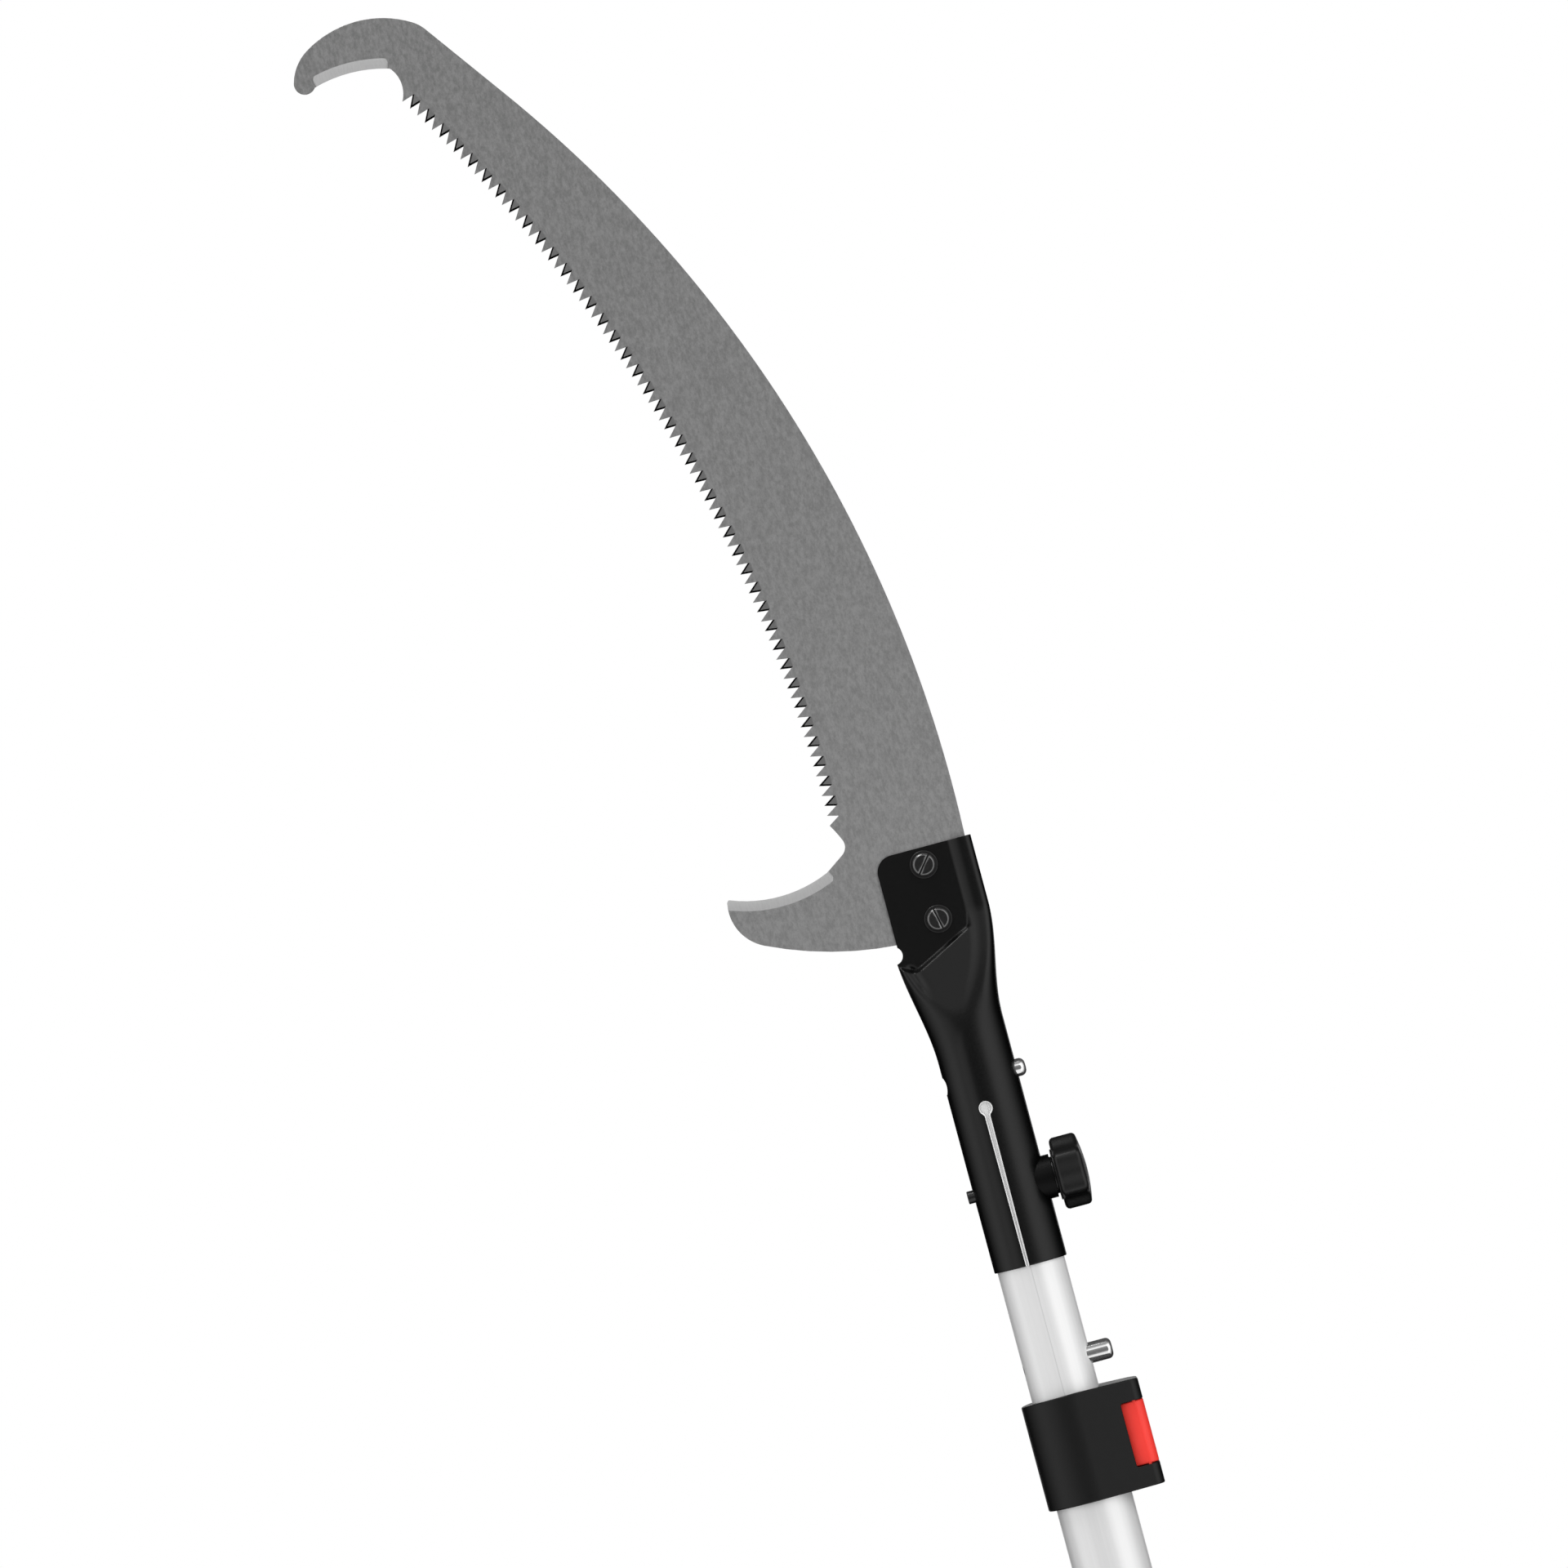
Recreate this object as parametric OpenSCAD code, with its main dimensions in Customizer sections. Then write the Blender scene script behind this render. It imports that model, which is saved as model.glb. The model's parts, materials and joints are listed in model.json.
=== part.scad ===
// Telescoping pole saw, in millimetres.
// Z runs up the pole's axis from the end cap's bottom face. The teeth face -X,
// the lock buttons face +X, and the blade's flat side faces -Y.
// Three oval aluminium tubes slide in each other, and the upper two are drawn in.

/* [Pole tubes] */
// Width of the inner tube's oval section, along X
inner_w = 32; // [31:0.5:34]
// Depth of the inner tube's oval section, along Y
inner_d = 25; // [23:0.5:27]
// Distance from the pole's axis to the centre of each round side
side_c = 7; // [6:0.25:8]
// Wall of each tube
tube_wall = 1.6; // [1.2:0.1:2]
// Running gap between a tube and the next one, on each side
tube_gap = 0.4; // [0.3:0.05:0.6]
// Length of the outer tube
outer_len = 1616; // [1500:2:1800]
// How far the middle tube slides out
middle_travel = 1225; // [1000:5:1240]
// Length of each upper tube that shows below the next piece
tube_show = 62; // [50:1:120]
// Space between the end cap's floor and the middle tube's end plug
foot_clear = 82; // [72:1:110]
// Length of the inner tube below its lock pin
inner_tail = 128.5; // [90:0.5:160]
// Space between the middle lock pin's housing and the inner tube's end plug
inner_clear = 14.5; // [12:0.5:40]

/* [Tube collars] */
// Height of a collar
collar_h = 51; // [46:0.5:60]
// Collar wall around its tube
collar_wall = 3.5; // [2.5:0.1:5]
// Thickness of the collar's lip over the tube's end
collar_lip = 5; // [3:0.5:8]
// Rise of the collar's domed top face
collar_crown = 1.5; // [0.5:0.1:3]
// How far the collar's nose reaches past its tube
nose_reach = 16; // [15.6:0.2:20]
// Half depth of the nose's end face
nose_half = 13; // [12.6:0.1:14]
// Corner radius of the nose
nose_r = 5; // [3:0.5:6]
// Running gap between the lip and the tube that slides through it
lip_gap = 0.3; // [0.2:0.05:0.6]

/* [Release buttons] */
// Height of the button's window
button_h = 30.5; // [28:0.5:33]
// Distance from the collar's top to the button's centre
button_drop = 25.75; // [23:0.25:27]
// Half depth of the button
button_half = 11.2; // [10.8:0.1:11.8]
// Length of the button's side walls
button_len = 10; // [9:0.1:10.2]
// How far the button pushes in
button_travel = 10.4; // [10:0.1:10.6]
// Clearance around the button
button_gap = 0.3; // [0.2:0.05:0.5]
// Diameter of the button's pusher
pusher_d = 9; // [7:0.5:9.4]
// Outer diameter of the two return springs
button_spring_d = 5; // [4:0.25:5.5]
// Height of each return spring above or below the button's centre
button_spring_z = 9.5; // [8.5:0.25:10]

/* [Lock pins] */
// Diameter of a lock pin
pin_d = 10; // [8:0.5:10.5]
// How far a released lock pin stands out of its tube
pin_out = 10.5; // [9:0.25:10.75]
// Length of a lock pin
pin_len = 16.5; // [15:0.5:17]
// Height of the storage pin's axis above the middle collar
storage_pin_rise = 15.3; // [13:0.1:30]
// Height of a pin's plastic housing
housing_h = 24; // [18:1:40]
// Clearance of a pin in its hole, on each side
pin_gap = 0.3; // [0.2:0.05:0.5]

/* [Blade socket] */
// Height of the pressed steel socket
socket_h = 199.5; // [185:0.5:215]
// Thickness of its sheet
sheet = 1.2; // [1:0.05:1.4]
// Clearance of the tube in the socket
socket_fit = 0.1; // [0.05:0.01:0.2]
// Length of tube inside the socket
tube_in_socket = 105; // [100:1:110]
// Height of the slit's round end
keyhole_z = 75.5; // [60:0.5:80]
// Diameter of the slit's round end
keyhole_d = 6.4; // [4:0.2:8]
// Width of the slit
slit_w = 1.7; // [1:0.1:3]
// Distance of the slit from the pole's axis
slit_x = 1.7; // [0:0.1:4]
// Distance from the pole's axis to the plate's tooth-side edge
plate_left = 21.8; // [20:0.2:24]
// Distance from the pole's axis to the outside of the spine
plate_right = 24.5; // [23.9:0.1:27]
// Distance from the pole's axis to the flared lip below the plate
lip_left = 24; // [22.5:0.2:27]
// Width of the hollow spine
spine_w = 11; // [9:0.5:13]
// Half depth of the hollow spine
spine_half = 5.5; // [4:0.25:7]
// Corner radius of the plate
plate_r = 8; // [3:0.5:10]

/* [Head fittings] */
// Height of the snap button above the socket's lower end
snap_z = 89.5; // [86:0.5:92]
// Diameter of the snap button
snap_d = 8.5; // [7:0.25:9]
// How far the snap button stands out of the tube
snap_out = 5.5; // [4:0.25:7]
// Length of the snap button
snap_len = 10.7; // [10:0.1:11.5]
// Height of the clamp above the socket's lower end
clamp_z = 37; // [22:0.5:55]
// Diameter of the clamp knob
knob_d = 34; // [28:0.5:40]
// Thickness of the clamp knob
knob_t = 15; // [10:0.5:18]
// Grip lobes around the knob
knob_lobes = 6; // [5:1:9]
// Diameter of the clamp stud
stud_d = 6; // [5:0.5:8]
// Diameter of the clamp's saddle
saddle_d = 20.5; // [14:0.5:22]
// Distance from the pole's axis to the knob's inner face
knob_x = 21.8; // [21.2:0.1:24]
// Thickness of the knob's washer
clamp_washer_t = 1; // [0.6:0.1:1.5]
// Height of the lower blade screw above the socket's lower end
screw_z = 165.5; // [162:0.5:168]
// Distance between the two blade screws
screw_pitch = 26; // [20:0.5:28]
// Diameter of a blade screw
screw_d = 6; // [4:0.5:6.5]
// Diameter of a blade screw's head
screw_head_d = 10.5; // [8:0.5:11.5]

/* [Blade] */
// Thickness of the blade
blade_t = 2; // [1.6:0.1:2.4]
// Height above the socket at which the back runs parallel to the pole
blade_level = 25.5; // [22:0.5:30]
// Radius of the blade's back
back_r = 615; // [580:5:680]
// Distance from the pole's axis to the back at that level
back_x = 22.4; // [21:0.1:22.6]
// Height over which the back curves, above that level
back_rise = 361.5; // [355:0.5:370]
// How much flatter than the back the line through the tooth tips is, in radius
tooth_line_flatter = 94; // [70:1:130]
// Distance from the pole's axis to that line
tooth_line_x = 37.4; // [35:0.1:39]
// Distance between two teeth
tooth_pitch = 4.75; // [4.6:0.01:4.8]
// Number of teeth
tooth_count = 84; // [60:1:84]
// Depth of a tooth
tooth_depth = 5.3; // [3:0.1:6]
// Share of a tooth's pitch below its tip
tooth_rake = 0.28; // [0.1:0.02:0.5]
// Radius of the hook's outer curve
hook_r = 48; // [44:0.5:50]
// Radius of the hook's cutting edge
hook_edge_r = 64; // [56:1:80]
// Radius of the lower sickle's cutting edge
sickle_edge_r = 61; // [56:1:66]
// Width of the ground bevel along the two cutting edges
bevel_w = 5; // [3:0.2:6]
// Thickness that the bevel leaves at the edge
edge_t = 0.5; // [0.3:0.1:1]

/* [Pole foot] */
// Thickness of the end cap below the tube
cap_floor = 18; // [15:0.5:30]
// Height of the end cap
cap_h = 58; // [45:1:80]
// Wall of the end cap around the tube
cap_wall = 3; // [2:0.25:5]
// Diameter of the hanging hole through the end cap
hang_d = 8; // [5:0.5:10]
// Length of the grip sleeve
grip_len = 420; // [200:10:600]
// Wall of the grip sleeve
grip_wall = 3; // [2:0.25:5]
// Number of grooves around the grip sleeve
grip_grooves = 20; // [0:1:40]

/* [Hidden] */
$fn = 72;

// Overshoot of a cutter past the face that it opens
cut = 1;
// Clearance of a part that is fastened in or on another
fit = 0.05;
// Clearance of a button's pusher from the pin it works on
pusher_gap = 0.3;
// Distance of a held pin's tip from the middle of the curved wall that holds it in
held_gap = 0.8;
// How far a straight side dips under the arcs that it joins
seam = 0.02;

// Half width and half depth of a tube: 0 is the inner tube, 1 the middle, 2 the outer
function tube_x(n) = inner_w / 2 + n * (tube_wall + tube_gap);
function tube_y(n) = inner_d / 2 + n * (tube_wall + tube_gap);

// Levels, from the foot up
outer_top = cap_floor + outer_len;
outer_collar_top = outer_top + collar_lip;
middle_collar_top = outer_collar_top + tube_show + collar_h;
middle_top = middle_collar_top - collar_lip;
socket_z = middle_collar_top + tube_show;
inner_top = socket_z + tube_in_socket;
outer_button_z = outer_collar_top - button_drop;
middle_button_z = middle_collar_top - button_drop;
middle_pin_z = outer_button_z - middle_travel;
storage_pin_z = middle_collar_top + storage_pin_rise;
plug_lip = 8;
plug_depth = 20;
middle_bottom = cap_floor + foot_clear + plug_lip;
inner_bottom = middle_pin_z + housing_h / 2 + inner_clear + plug_lip;
inner_pin_z = inner_bottom + inner_tail;

// Lock pin and its cup
pin_wall = 1;
pin_edge = 2.5;
pin_flange_d = pin_d + 2;
pin_flange_t = 1.2;
pin_hole_d = pin_d + 2 * pin_gap;
housing_bore = pin_flange_d + pin_gap;
housing_back = 3.5;
nub_d = 5;
// Tip of a lock pin that the wall of tube n holds in
function held_tip(n) = tube_x(n) - tube_wall - held_gap;

// Snap button of the head
snap_flange_d = snap_d + 2;
snap_edge = 2;
snap_hole_d = snap_d + 2 * pin_gap;
snap_housing_h = 18;

// Springs
spring_wire = 0.9;
button_spring_wire = 0.7;
spring_turns = 6;
button_spring_turns = 5;

// Release button
button_wall = 2;
button_front = 2.5;
button_flange = 1.5;
button_flange_x = 5.3;
button_flange_t = 1.5;
collar_screw_z = [-14, 14];

// Button head screws of the collars and the end cap
pole_screw_d = 4;
pole_screw_head_d = 7;
pole_screw_head_t = 1.6;
pole_screw_hex = 3;

// Socket shape, in heights above its lower end
socket_x = tube_x(0) + socket_fit + sheet;
socket_y = tube_y(0) + socket_fit + sheet;
loft_z = tube_in_socket;
flare_start = tube_in_socket - 5;
flare_end = tube_in_socket + 50;
spine_start = tube_in_socket + 10;
spine_end = tube_in_socket + 62;
swell_start = tube_in_socket + 10;
spine_peak = 4.5;
crease_left = 143;
crease_slope = 0.52;
lip_top = 149.8;
notch_r = 4.2;
notch_out = 2.6;
slit_flare = 0.45;
leaf_y = blade_t / 2 + sheet;
slot_gap = 0.05;
loft_rings = 20;
loft_points = 20;
loft_step = 0.15;

// Clamp
stud_gap = 0.1;
stud_tail = 3;
stud_end = 4;
clamp_nut_d = 10;
clamp_nut_t = 7;
knob_crown = 1.5;
knob_rim = 1.5;
lobe_r = 12;
lobe_depth = 2.8;
knob_hub_d = 24;
knob_hub_t = 0.7;

// Blade screws
screw_head_t = 2.8;
slot_w = 1.3;
slot_depth = 1.2;
slot_turn = [-12, 39];
washer_d = 13;
washer_t = 1;
nut_flats = 10;
nut_t = 5;
screw_tail = 1.5;

// Blade, with its level and the two circle centres
blade_z = socket_z + socket_h + blade_level;
back_c = [back_x - back_r, blade_z];
back_sweep = asin(back_rise / back_r);
tooth_line_r = back_r + tooth_line_flatter;
tooth_c = [-tooth_line_x - tooth_line_r, blade_z];
tang_lift = 6;
tang_z = socket_z + lip_top + tang_lift;
last_tooth = -0.4;
first_tooth = last_tooth + (tooth_count - 1) * tooth_pitch / tooth_line_r * 180 / PI;
hook_heading = back_sweep - 20.5;
hook_sweep = -32;
sickle_heading = -156.7;
sickle_sweep = -45;

// Lengths and radii along the hook: its straight lead, the bend into its outer curve,
// its nose, its tip, and the corner and the gullet behind its cutting edge
hook_lead = 47;
hook_bend_r = 18;
hook_nose_r = 22.4;
hook_tip_r = 5;
hook_corner_r = 2;
hook_gullet_r = 14.4;

// Lengths and radii along the lower sickle: the throat under the teeth, the step behind it,
// its tip, its nose and its long back
throat_r = 57;
step_r = 5.5;
step_len = 10.8;
sickle_tip_r = [1, 2];
sickle_tip_len = 0.8;
sickle_nose_r = 21.2;
sickle_back_r = 163;

cap_screw_rise = 10;
sleeve_gap = 1;
groove_w = 4;
groove_depth = 0.8;

BLACK = "#1c1c1e";
STEEL = "#8a8a88";
BRIGHT = "#d8d8d6";
ALUMINIUM = "#c9cacb";
RED = "#e02822";
GREY = "#55585c";

// ---- Shared shapes ----

// A point at distance r from c, at angle a
function polar(c, r, a) = [c[0] + r * cos(a), c[1] + r * sin(a)];

// Points along an arc, both ends included
function arc(c, r, a0, a1, steps) = [for (k = [0:steps]) polar(c, r, a0 + (a1 - a0) * k / steps)];

// Points of a path that starts at p and runs on smoothly. Each move is [length, 0]
// for a straight stretch or [radius, turn] for an arc, with left turns positive.
function walk(p, heading, moves, i = 0) =
    i == len(moves) ? [p] :
    let (size = moves[i][0], turn = moves[i][1])
    turn == 0 ? concat([p], walk(polar(p, size, heading), heading, moves, i + 1)) :
    let (side = sign(turn), c = polar(p, size, heading + 90 * side),
        steps = max(2, ceil(abs(turn) / 9)), from = heading - 90 * side,
        bend = [for (k = [0:steps - 1]) polar(c, size, from + turn * k / steps)])
    concat(bend, walk(polar(c, size, from + turn), heading + turn, moves, i + 1));

// Smooth step from 0 at a to 1 at b
function ease(x, a, b) = let (t = min(1, max(0, (x - a) / (b - a)))) t * t * (3 - 2 * t);

// Four-arc oval: radius of its round sides, radius of its broad faces, and where they meet
function side_r(x) = x - side_c;
function face_r(x, y) = (side_c ^ 2 + y ^ 2 - side_r(x) ^ 2) / (2 * (y - side_r(x)));
function meet_x(x, y) = side_c + side_r(x) * side_c / (face_r(x, y) - side_r(x));

// Half depth of the oval at distance u from its middle
function oval_y(u, x, y) =
    abs(u) < meet_x(x, y) ? sqrt(face_r(x, y) ^ 2 - u ^ 2) - face_r(x, y) + y
    : sqrt(max(0, side_r(x) ^ 2 - (abs(u) - side_c) ^ 2));

module oval(x, y) {
    face = face_r(x, y);
    intersection() {
        translate([0, y - face]) circle(face);
        translate([0, face - y]) circle(face);
        square([2 * meet_x(x, y), 2 * y + cut], center = true);
    }
    for (s = [-1, 1]) translate([s * side_c, 0]) circle(side_r(x));
}

// Oval solid between two levels
module oval_bar(x, y, z0, z1) {
    translate([0, 0, z0]) linear_extrude(z1 - z0) oval(x, y);
}

// Oval sleeve of a given outside and wall between two levels
module oval_sleeve(x, y, wall, z0, z1) {
    translate([0, 0, z0]) linear_extrude(z1 - z0) difference() {
        oval(x, y);
        oval(x - wall, y - wall);
    }
}

// Round bar along X at height z
module x_bar(x0, x1, d, z) {
    translate([x0, 0, z]) rotate([0, 90, 0]) cylinder(h = x1 - x0, d = d);
}

// Round bar along Y at (x, z)
module y_bar(y0, y1, d, x, z) {
    translate([x, y0, z]) rotate([-90, 0, 0]) cylinder(h = y1 - y0, d = d);
}

// Tube n between two levels, with round holes in its +X wall
module pole_tube(n, z0, z1, holes) {
    difference() {
        oval_sleeve(tube_x(n), tube_y(n), tube_wall, z0, z1);
        for (hole = holes) x_bar(side_c, tube_x(n) + cut, hole[1], hole[0]);
    }
}

// Hollow push pin along +X with a rounded tip and a flange that holds it in
module push_pin(tip, length, d, edge, flange_d, z) {
    translate([tip - length, 0, z]) rotate([0, 90, 0]) difference() {
        union() {
            rotate_extrude() {
                square([d / 2, length - edge]);
                square([d / 2 - edge, length]);
                translate([d / 2 - edge, length - edge]) circle(edge);
            }
            cylinder(h = pin_flange_t, d = flange_d);
        }
        translate([0, 0, -cut]) cylinder(h = length - edge + cut, d = d - 2 * pin_wall);
    }
}

// Coil spring along +X between x0 and x1
module coil_spring(x0, x1, d, wire, turns, z) {
    steps = 10;
    sides = 5;
    n = turns * steps;
    mean = (d - wire) / 2;
    rise = (x1 - x0 - wire) / n;
    rings = [for (k = [0:n], j = [0:sides - 1])
        let (a = 360 * k / steps, b = 360 * j / sides, r = mean + wire / 2 * cos(b))
        [x0 + wire / 2 + rise * k + wire / 2 * sin(b), r * cos(a), z + r * sin(a)]];
    skin = [for (k = [0:n - 1], j = [0:sides - 1])
        let (a = k * sides + j, b = k * sides + (j + 1) % sides)
        each [[a, b, b + sides], [a, b + sides, a + sides]]];
    start = [for (j = [sides - 1:-1:0]) j];
    end = [for (j = [0:sides - 1]) n * sides + j];
    polyhedron(rings, concat(skin, [start, end]));
}

// Plastic block inside tube n that guides a push pin, with a nub in the tube's back wall
module pin_housing(n, bore, height, z) {
    back = tube_x(n) - tube_wall;
    difference() {
        union() {
            oval_bar(back - fit, tube_y(n) - tube_wall - fit, z - height / 2, z + height / 2);
            intersection() {
                x_bar(-tube_x(n), -back + cut, nub_d, z);
                oval_bar(tube_x(n) - fit, tube_y(n) - fit, z - nub_d, z + nub_d);
            }
        }
        x_bar(housing_back - back, back + cut, bore, z);
    }
}

// Bush at the bottom end of tube n, with a lip below the tube
module end_plug(n, bottom) {
    x = tube_x(n);
    y = tube_y(n);
    difference() {
        union() {
            oval_bar(x + tube_gap / 2, y + tube_gap / 2, bottom - plug_lip, bottom);
            oval_bar(x - tube_wall - fit, y - tube_wall - fit, bottom, bottom + plug_depth);
        }
        translate([0, 0, bottom - plug_lip - cut])
            cylinder(h = plug_lip + plug_depth + 2 * cut, r = side_c);
    }
}

// ---- Collars and release buttons ----

// Corner of the nose, and the line that leaves it tangent to the collar's broad face
function nose_c(n) = [tube_x(n) + nose_reach - nose_r, nose_half - nose_r];
function collar_face_r(n) = face_r(tube_x(n) + collar_wall, tube_y(n) + collar_wall);
function collar_face_c(n) = [0, tube_y(n) + collar_wall - collar_face_r(n)];
function nose_normal(n) =
    let (d = nose_c(n) - collar_face_c(n))
    atan2(d[1], d[0]) + acos((collar_face_r(n) - nose_r) / norm(d));

module collar_block(n, z0, height) {
    corner = nose_c(n);
    a = polar(corner, nose_r - seam, nose_normal(n));
    b = polar(collar_face_c(n), collar_face_r(n) - seam, nose_normal(n));
    oval_bar(tube_x(n) + collar_wall, tube_y(n) + collar_wall, z0, z0 + height);
    translate([0, 0, z0]) linear_extrude(height)
        polygon([[0, 0], b, a, [corner[0] + nose_r, corner[1]], [corner[0] + nose_r, -corner[1]],
            [a[0], -a[1]], [b[0], -b[1]]]);
    for (s = [-1, 1]) translate([corner[0], s * corner[1], z0]) cylinder(h = height, r = nose_r);
}

// Collar on tube n, with a window for its button
module collar(n, top) {
    nose_x = tube_x(n) + nose_reach;
    crown_x = (nose_x - tube_x(n) - collar_wall) / 2;
    crown_r = (nose_x ^ 2 + collar_crown ^ 2) / (2 * collar_crown);
    z = top - button_drop;
    pocket_h = button_h + 2 * (button_flange + button_gap);
    pocket_y = button_half + button_gap;
    difference() {
        intersection() {
            collar_block(n, top - collar_h, collar_h + cut);
            y_bar(-2 * nose_x, 2 * nose_x, 2 * crown_r, crown_x, top - crown_r, $fn = 720);
        }
        oval_bar(tube_x(n) + fit, tube_y(n) + fit, top - collar_h - cut, top - collar_lip);
        oval_bar(tube_x(n - 1) + lip_gap, tube_y(n - 1) + lip_gap, top - collar_lip - cut, top + cut);
        translate([nose_x - button_len - button_gap, -tube_y(n) - nose_reach, z - button_h / 2])
            cube([button_len + 2 * button_gap + cut, 2 * (tube_y(n) + nose_reach), button_h]);
        translate([side_c, -pocket_y, z - pocket_h / 2])
            cube([nose_x - button_flange_x + button_flange_t + button_gap - side_c,
                2 * pocket_y, pocket_h]);
        collar_screw_holes(n, top);
    }
}

// Holes for the two screws that hold collar n to the back face of its tube
module collar_screw_holes(n, top) {
    for (dz = collar_screw_z)
        y_bar(tube_y(n) - tube_wall - cut, tube_y(n) + collar_wall + cut, pole_screw_d + 2 * fit,
            0, top - collar_h / 2 + dz);
}

// Screw along Y with its tip at y0 and a socket head on a face at y1
module pole_screw(y0, y1, z) {
    difference() {
        union() {
            y_bar(y0, y1, pole_screw_d, 0, z);
            y_bar(y1, y1 + pole_screw_head_t, pole_screw_head_d, 0, z);
        }
        translate([0, y1 + pole_screw_head_t + cut, z]) rotate([90, 0, 0])
            cylinder(h = pole_screw_head_t + cut, d = pole_screw_hex / cos(30), $fn = 6);
    }
}

module collar_screws(n, top) {
    for (dz = collar_screw_z)
        pole_screw(tube_y(n) - tube_wall + fit, tube_y(n) + collar_wall, top - collar_h / 2 + dz);
}

// Button of tube n's collar: a rounded cap with a flange behind the window and a pusher
module release_button(n, z) {
    front = tube_x(n) + nose_reach;
    inside = front - button_front;
    flange_x = front - button_flange_x;
    high = button_h - 2 * button_gap;
    flange_h = high + 2 * (button_flange + button_gap);
    difference() {
        union() {
            translate([0, 0, z - high / 2]) linear_extrude(high) {
                translate([front - button_len, -button_half])
                    square([button_len - nose_r, 2 * button_half]);
                translate([front - button_len, nose_r - button_half])
                    square([button_len, 2 * (button_half - nose_r)]);
                for (s = [-1, 1])
                    translate([front - nose_r, s * (button_half - nose_r)]) circle(nose_r);
            }
            translate([flange_x, -button_half, z - flange_h / 2])
                cube([button_flange_t, 2 * button_half, flange_h]);
        }
        translate([inside - nose_reach, button_wall - button_half, z - high / 2 + button_wall])
            cube([nose_reach, 2 * (button_half - button_wall), high - 2 * button_wall]);
        translate([flange_x - nose_reach, button_wall - button_half, z - high])
            cube([nose_reach, 2 * (button_half - button_wall), 2 * high]);
        translate([button_travel + button_gap, 0, 0])
            oval_bar(tube_x(n), tube_y(n), z - high, z + high);
    }
    x_bar(tube_x(n - 1) + pin_out + pusher_gap, inside, pusher_d, z);
}

// The two return springs between tube n and its collar's button
module button_springs(n, z) {
    inside = tube_x(n) + nose_reach - button_front;
    for (s = [-1, 1])
        coil_spring(tube_x(n) + fit, inside - fit, button_spring_d, button_spring_wire,
            button_spring_turns, z + s * button_spring_z);
}

// ---- Blade ----

// Lower tip point of the hook, where its cutting edge starts
function hook_path() = walk(polar(back_c, back_r, back_sweep), 90 + back_sweep,
    [[hook_lead, 0], [hook_bend_r, 22.5], [hook_r, 63.4], [hook_nose_r, 43], [hook_tip_r, 160]]);
function hook_start() = hook_path()[len(hook_path()) - 1];

// Cutting edge of the hook and the gullet behind it
function hook_edge_c() = polar(hook_start(), hook_edge_r, hook_heading - 90);
function hook_inside() = walk(hook_start(), hook_heading,
    [[hook_edge_r, hook_sweep], [hook_corner_r, -36], [hook_gullet_r, -66]]);

// Tooth tips and gullets, from the hook down
function tooth_points() =
    let (step = tooth_pitch / tooth_line_r * 180 / PI)
    [for (k = [0:tooth_count - 1], p = [0, 1])
        let (a = first_tooth - k * step)
        p == 0 ? polar(tooth_c, tooth_line_r, a)
        : polar(tooth_c, tooth_line_r + tooth_depth, a - tooth_rake * step)];

// Gullet under the teeth, cutting edge of the lower sickle, and its back
function sickle_gullet() = walk(polar(tooth_c, tooth_line_r, last_tooth), -58.6,
    [[throat_r, -9], [step_r, -78], [step_len, 0]]);
function sickle_start() = sickle_gullet()[len(sickle_gullet()) - 1];
function sickle_edge_c() = polar(sickle_start(), sickle_edge_r, sickle_heading - 90);
function sickle_path() = walk(sickle_start(), sickle_heading,
    [[sickle_edge_r, sickle_sweep], [sickle_tip_r[0], 66], [sickle_tip_r[1], 37],
        [sickle_tip_len, 0], [sickle_nose_r, 73], [sickle_back_r, 22]]);

function blade_outline() =
    let (tang = asin((tang_z - blade_z) / back_r),
        teeth = [for (k = [0:2 * tooth_count - 2]) tooth_points()[k]])
    concat(arc(back_c, back_r, tang, back_sweep, 24), hook_path(), hook_inside(), teeth,
        sickle_gullet(), sickle_path(), [[-plate_left + plate_r, tang_z]]);

// Wedge ring that grinds one face of a cutting edge on a circle about c
module bevel_cutter(c, r, from, to) {
    reach = 3 * bevel_w;
    rise = (blade_t - edge_t) / 2 / bevel_w;
    intersection() {
        translate([c[0], 0, c[1]]) rotate([90, 0, 0]) rotate_extrude()
            polygon([[r - bevel_w, edge_t / 2 - rise * bevel_w], [r + bevel_w, blade_t / 2],
                [r + bevel_w, blade_t], [r - bevel_w, blade_t]]);
        translate([0, cut, 0]) rotate([90, 0, 0]) linear_extrude(2 * blade_t)
            polygon(concat([c], arc(c, 2 * r, from, to, 4)));
    }
}

module blade_bevels() {
    hook_a = hook_heading + 90;
    sickle_a = sickle_heading + 90;
    bevel_cutter(hook_edge_c(), hook_edge_r, hook_a + hook_sweep + 0.5, hook_a - 1);
    bevel_cutter(sickle_edge_c(), sickle_edge_r, sickle_a + sickle_sweep - 8, sickle_a - 1);
}

module blade() {
    color(STEEL) difference() {
        translate([0, blade_t / 2, 0]) rotate([90, 0, 0]) linear_extrude(blade_t)
            polygon(blade_outline());
        for (side = [0, 1]) mirror([0, side, 0]) blade_bevels();
        blade_screw_holes();
    }
}

// ---- Socket ----

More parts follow.
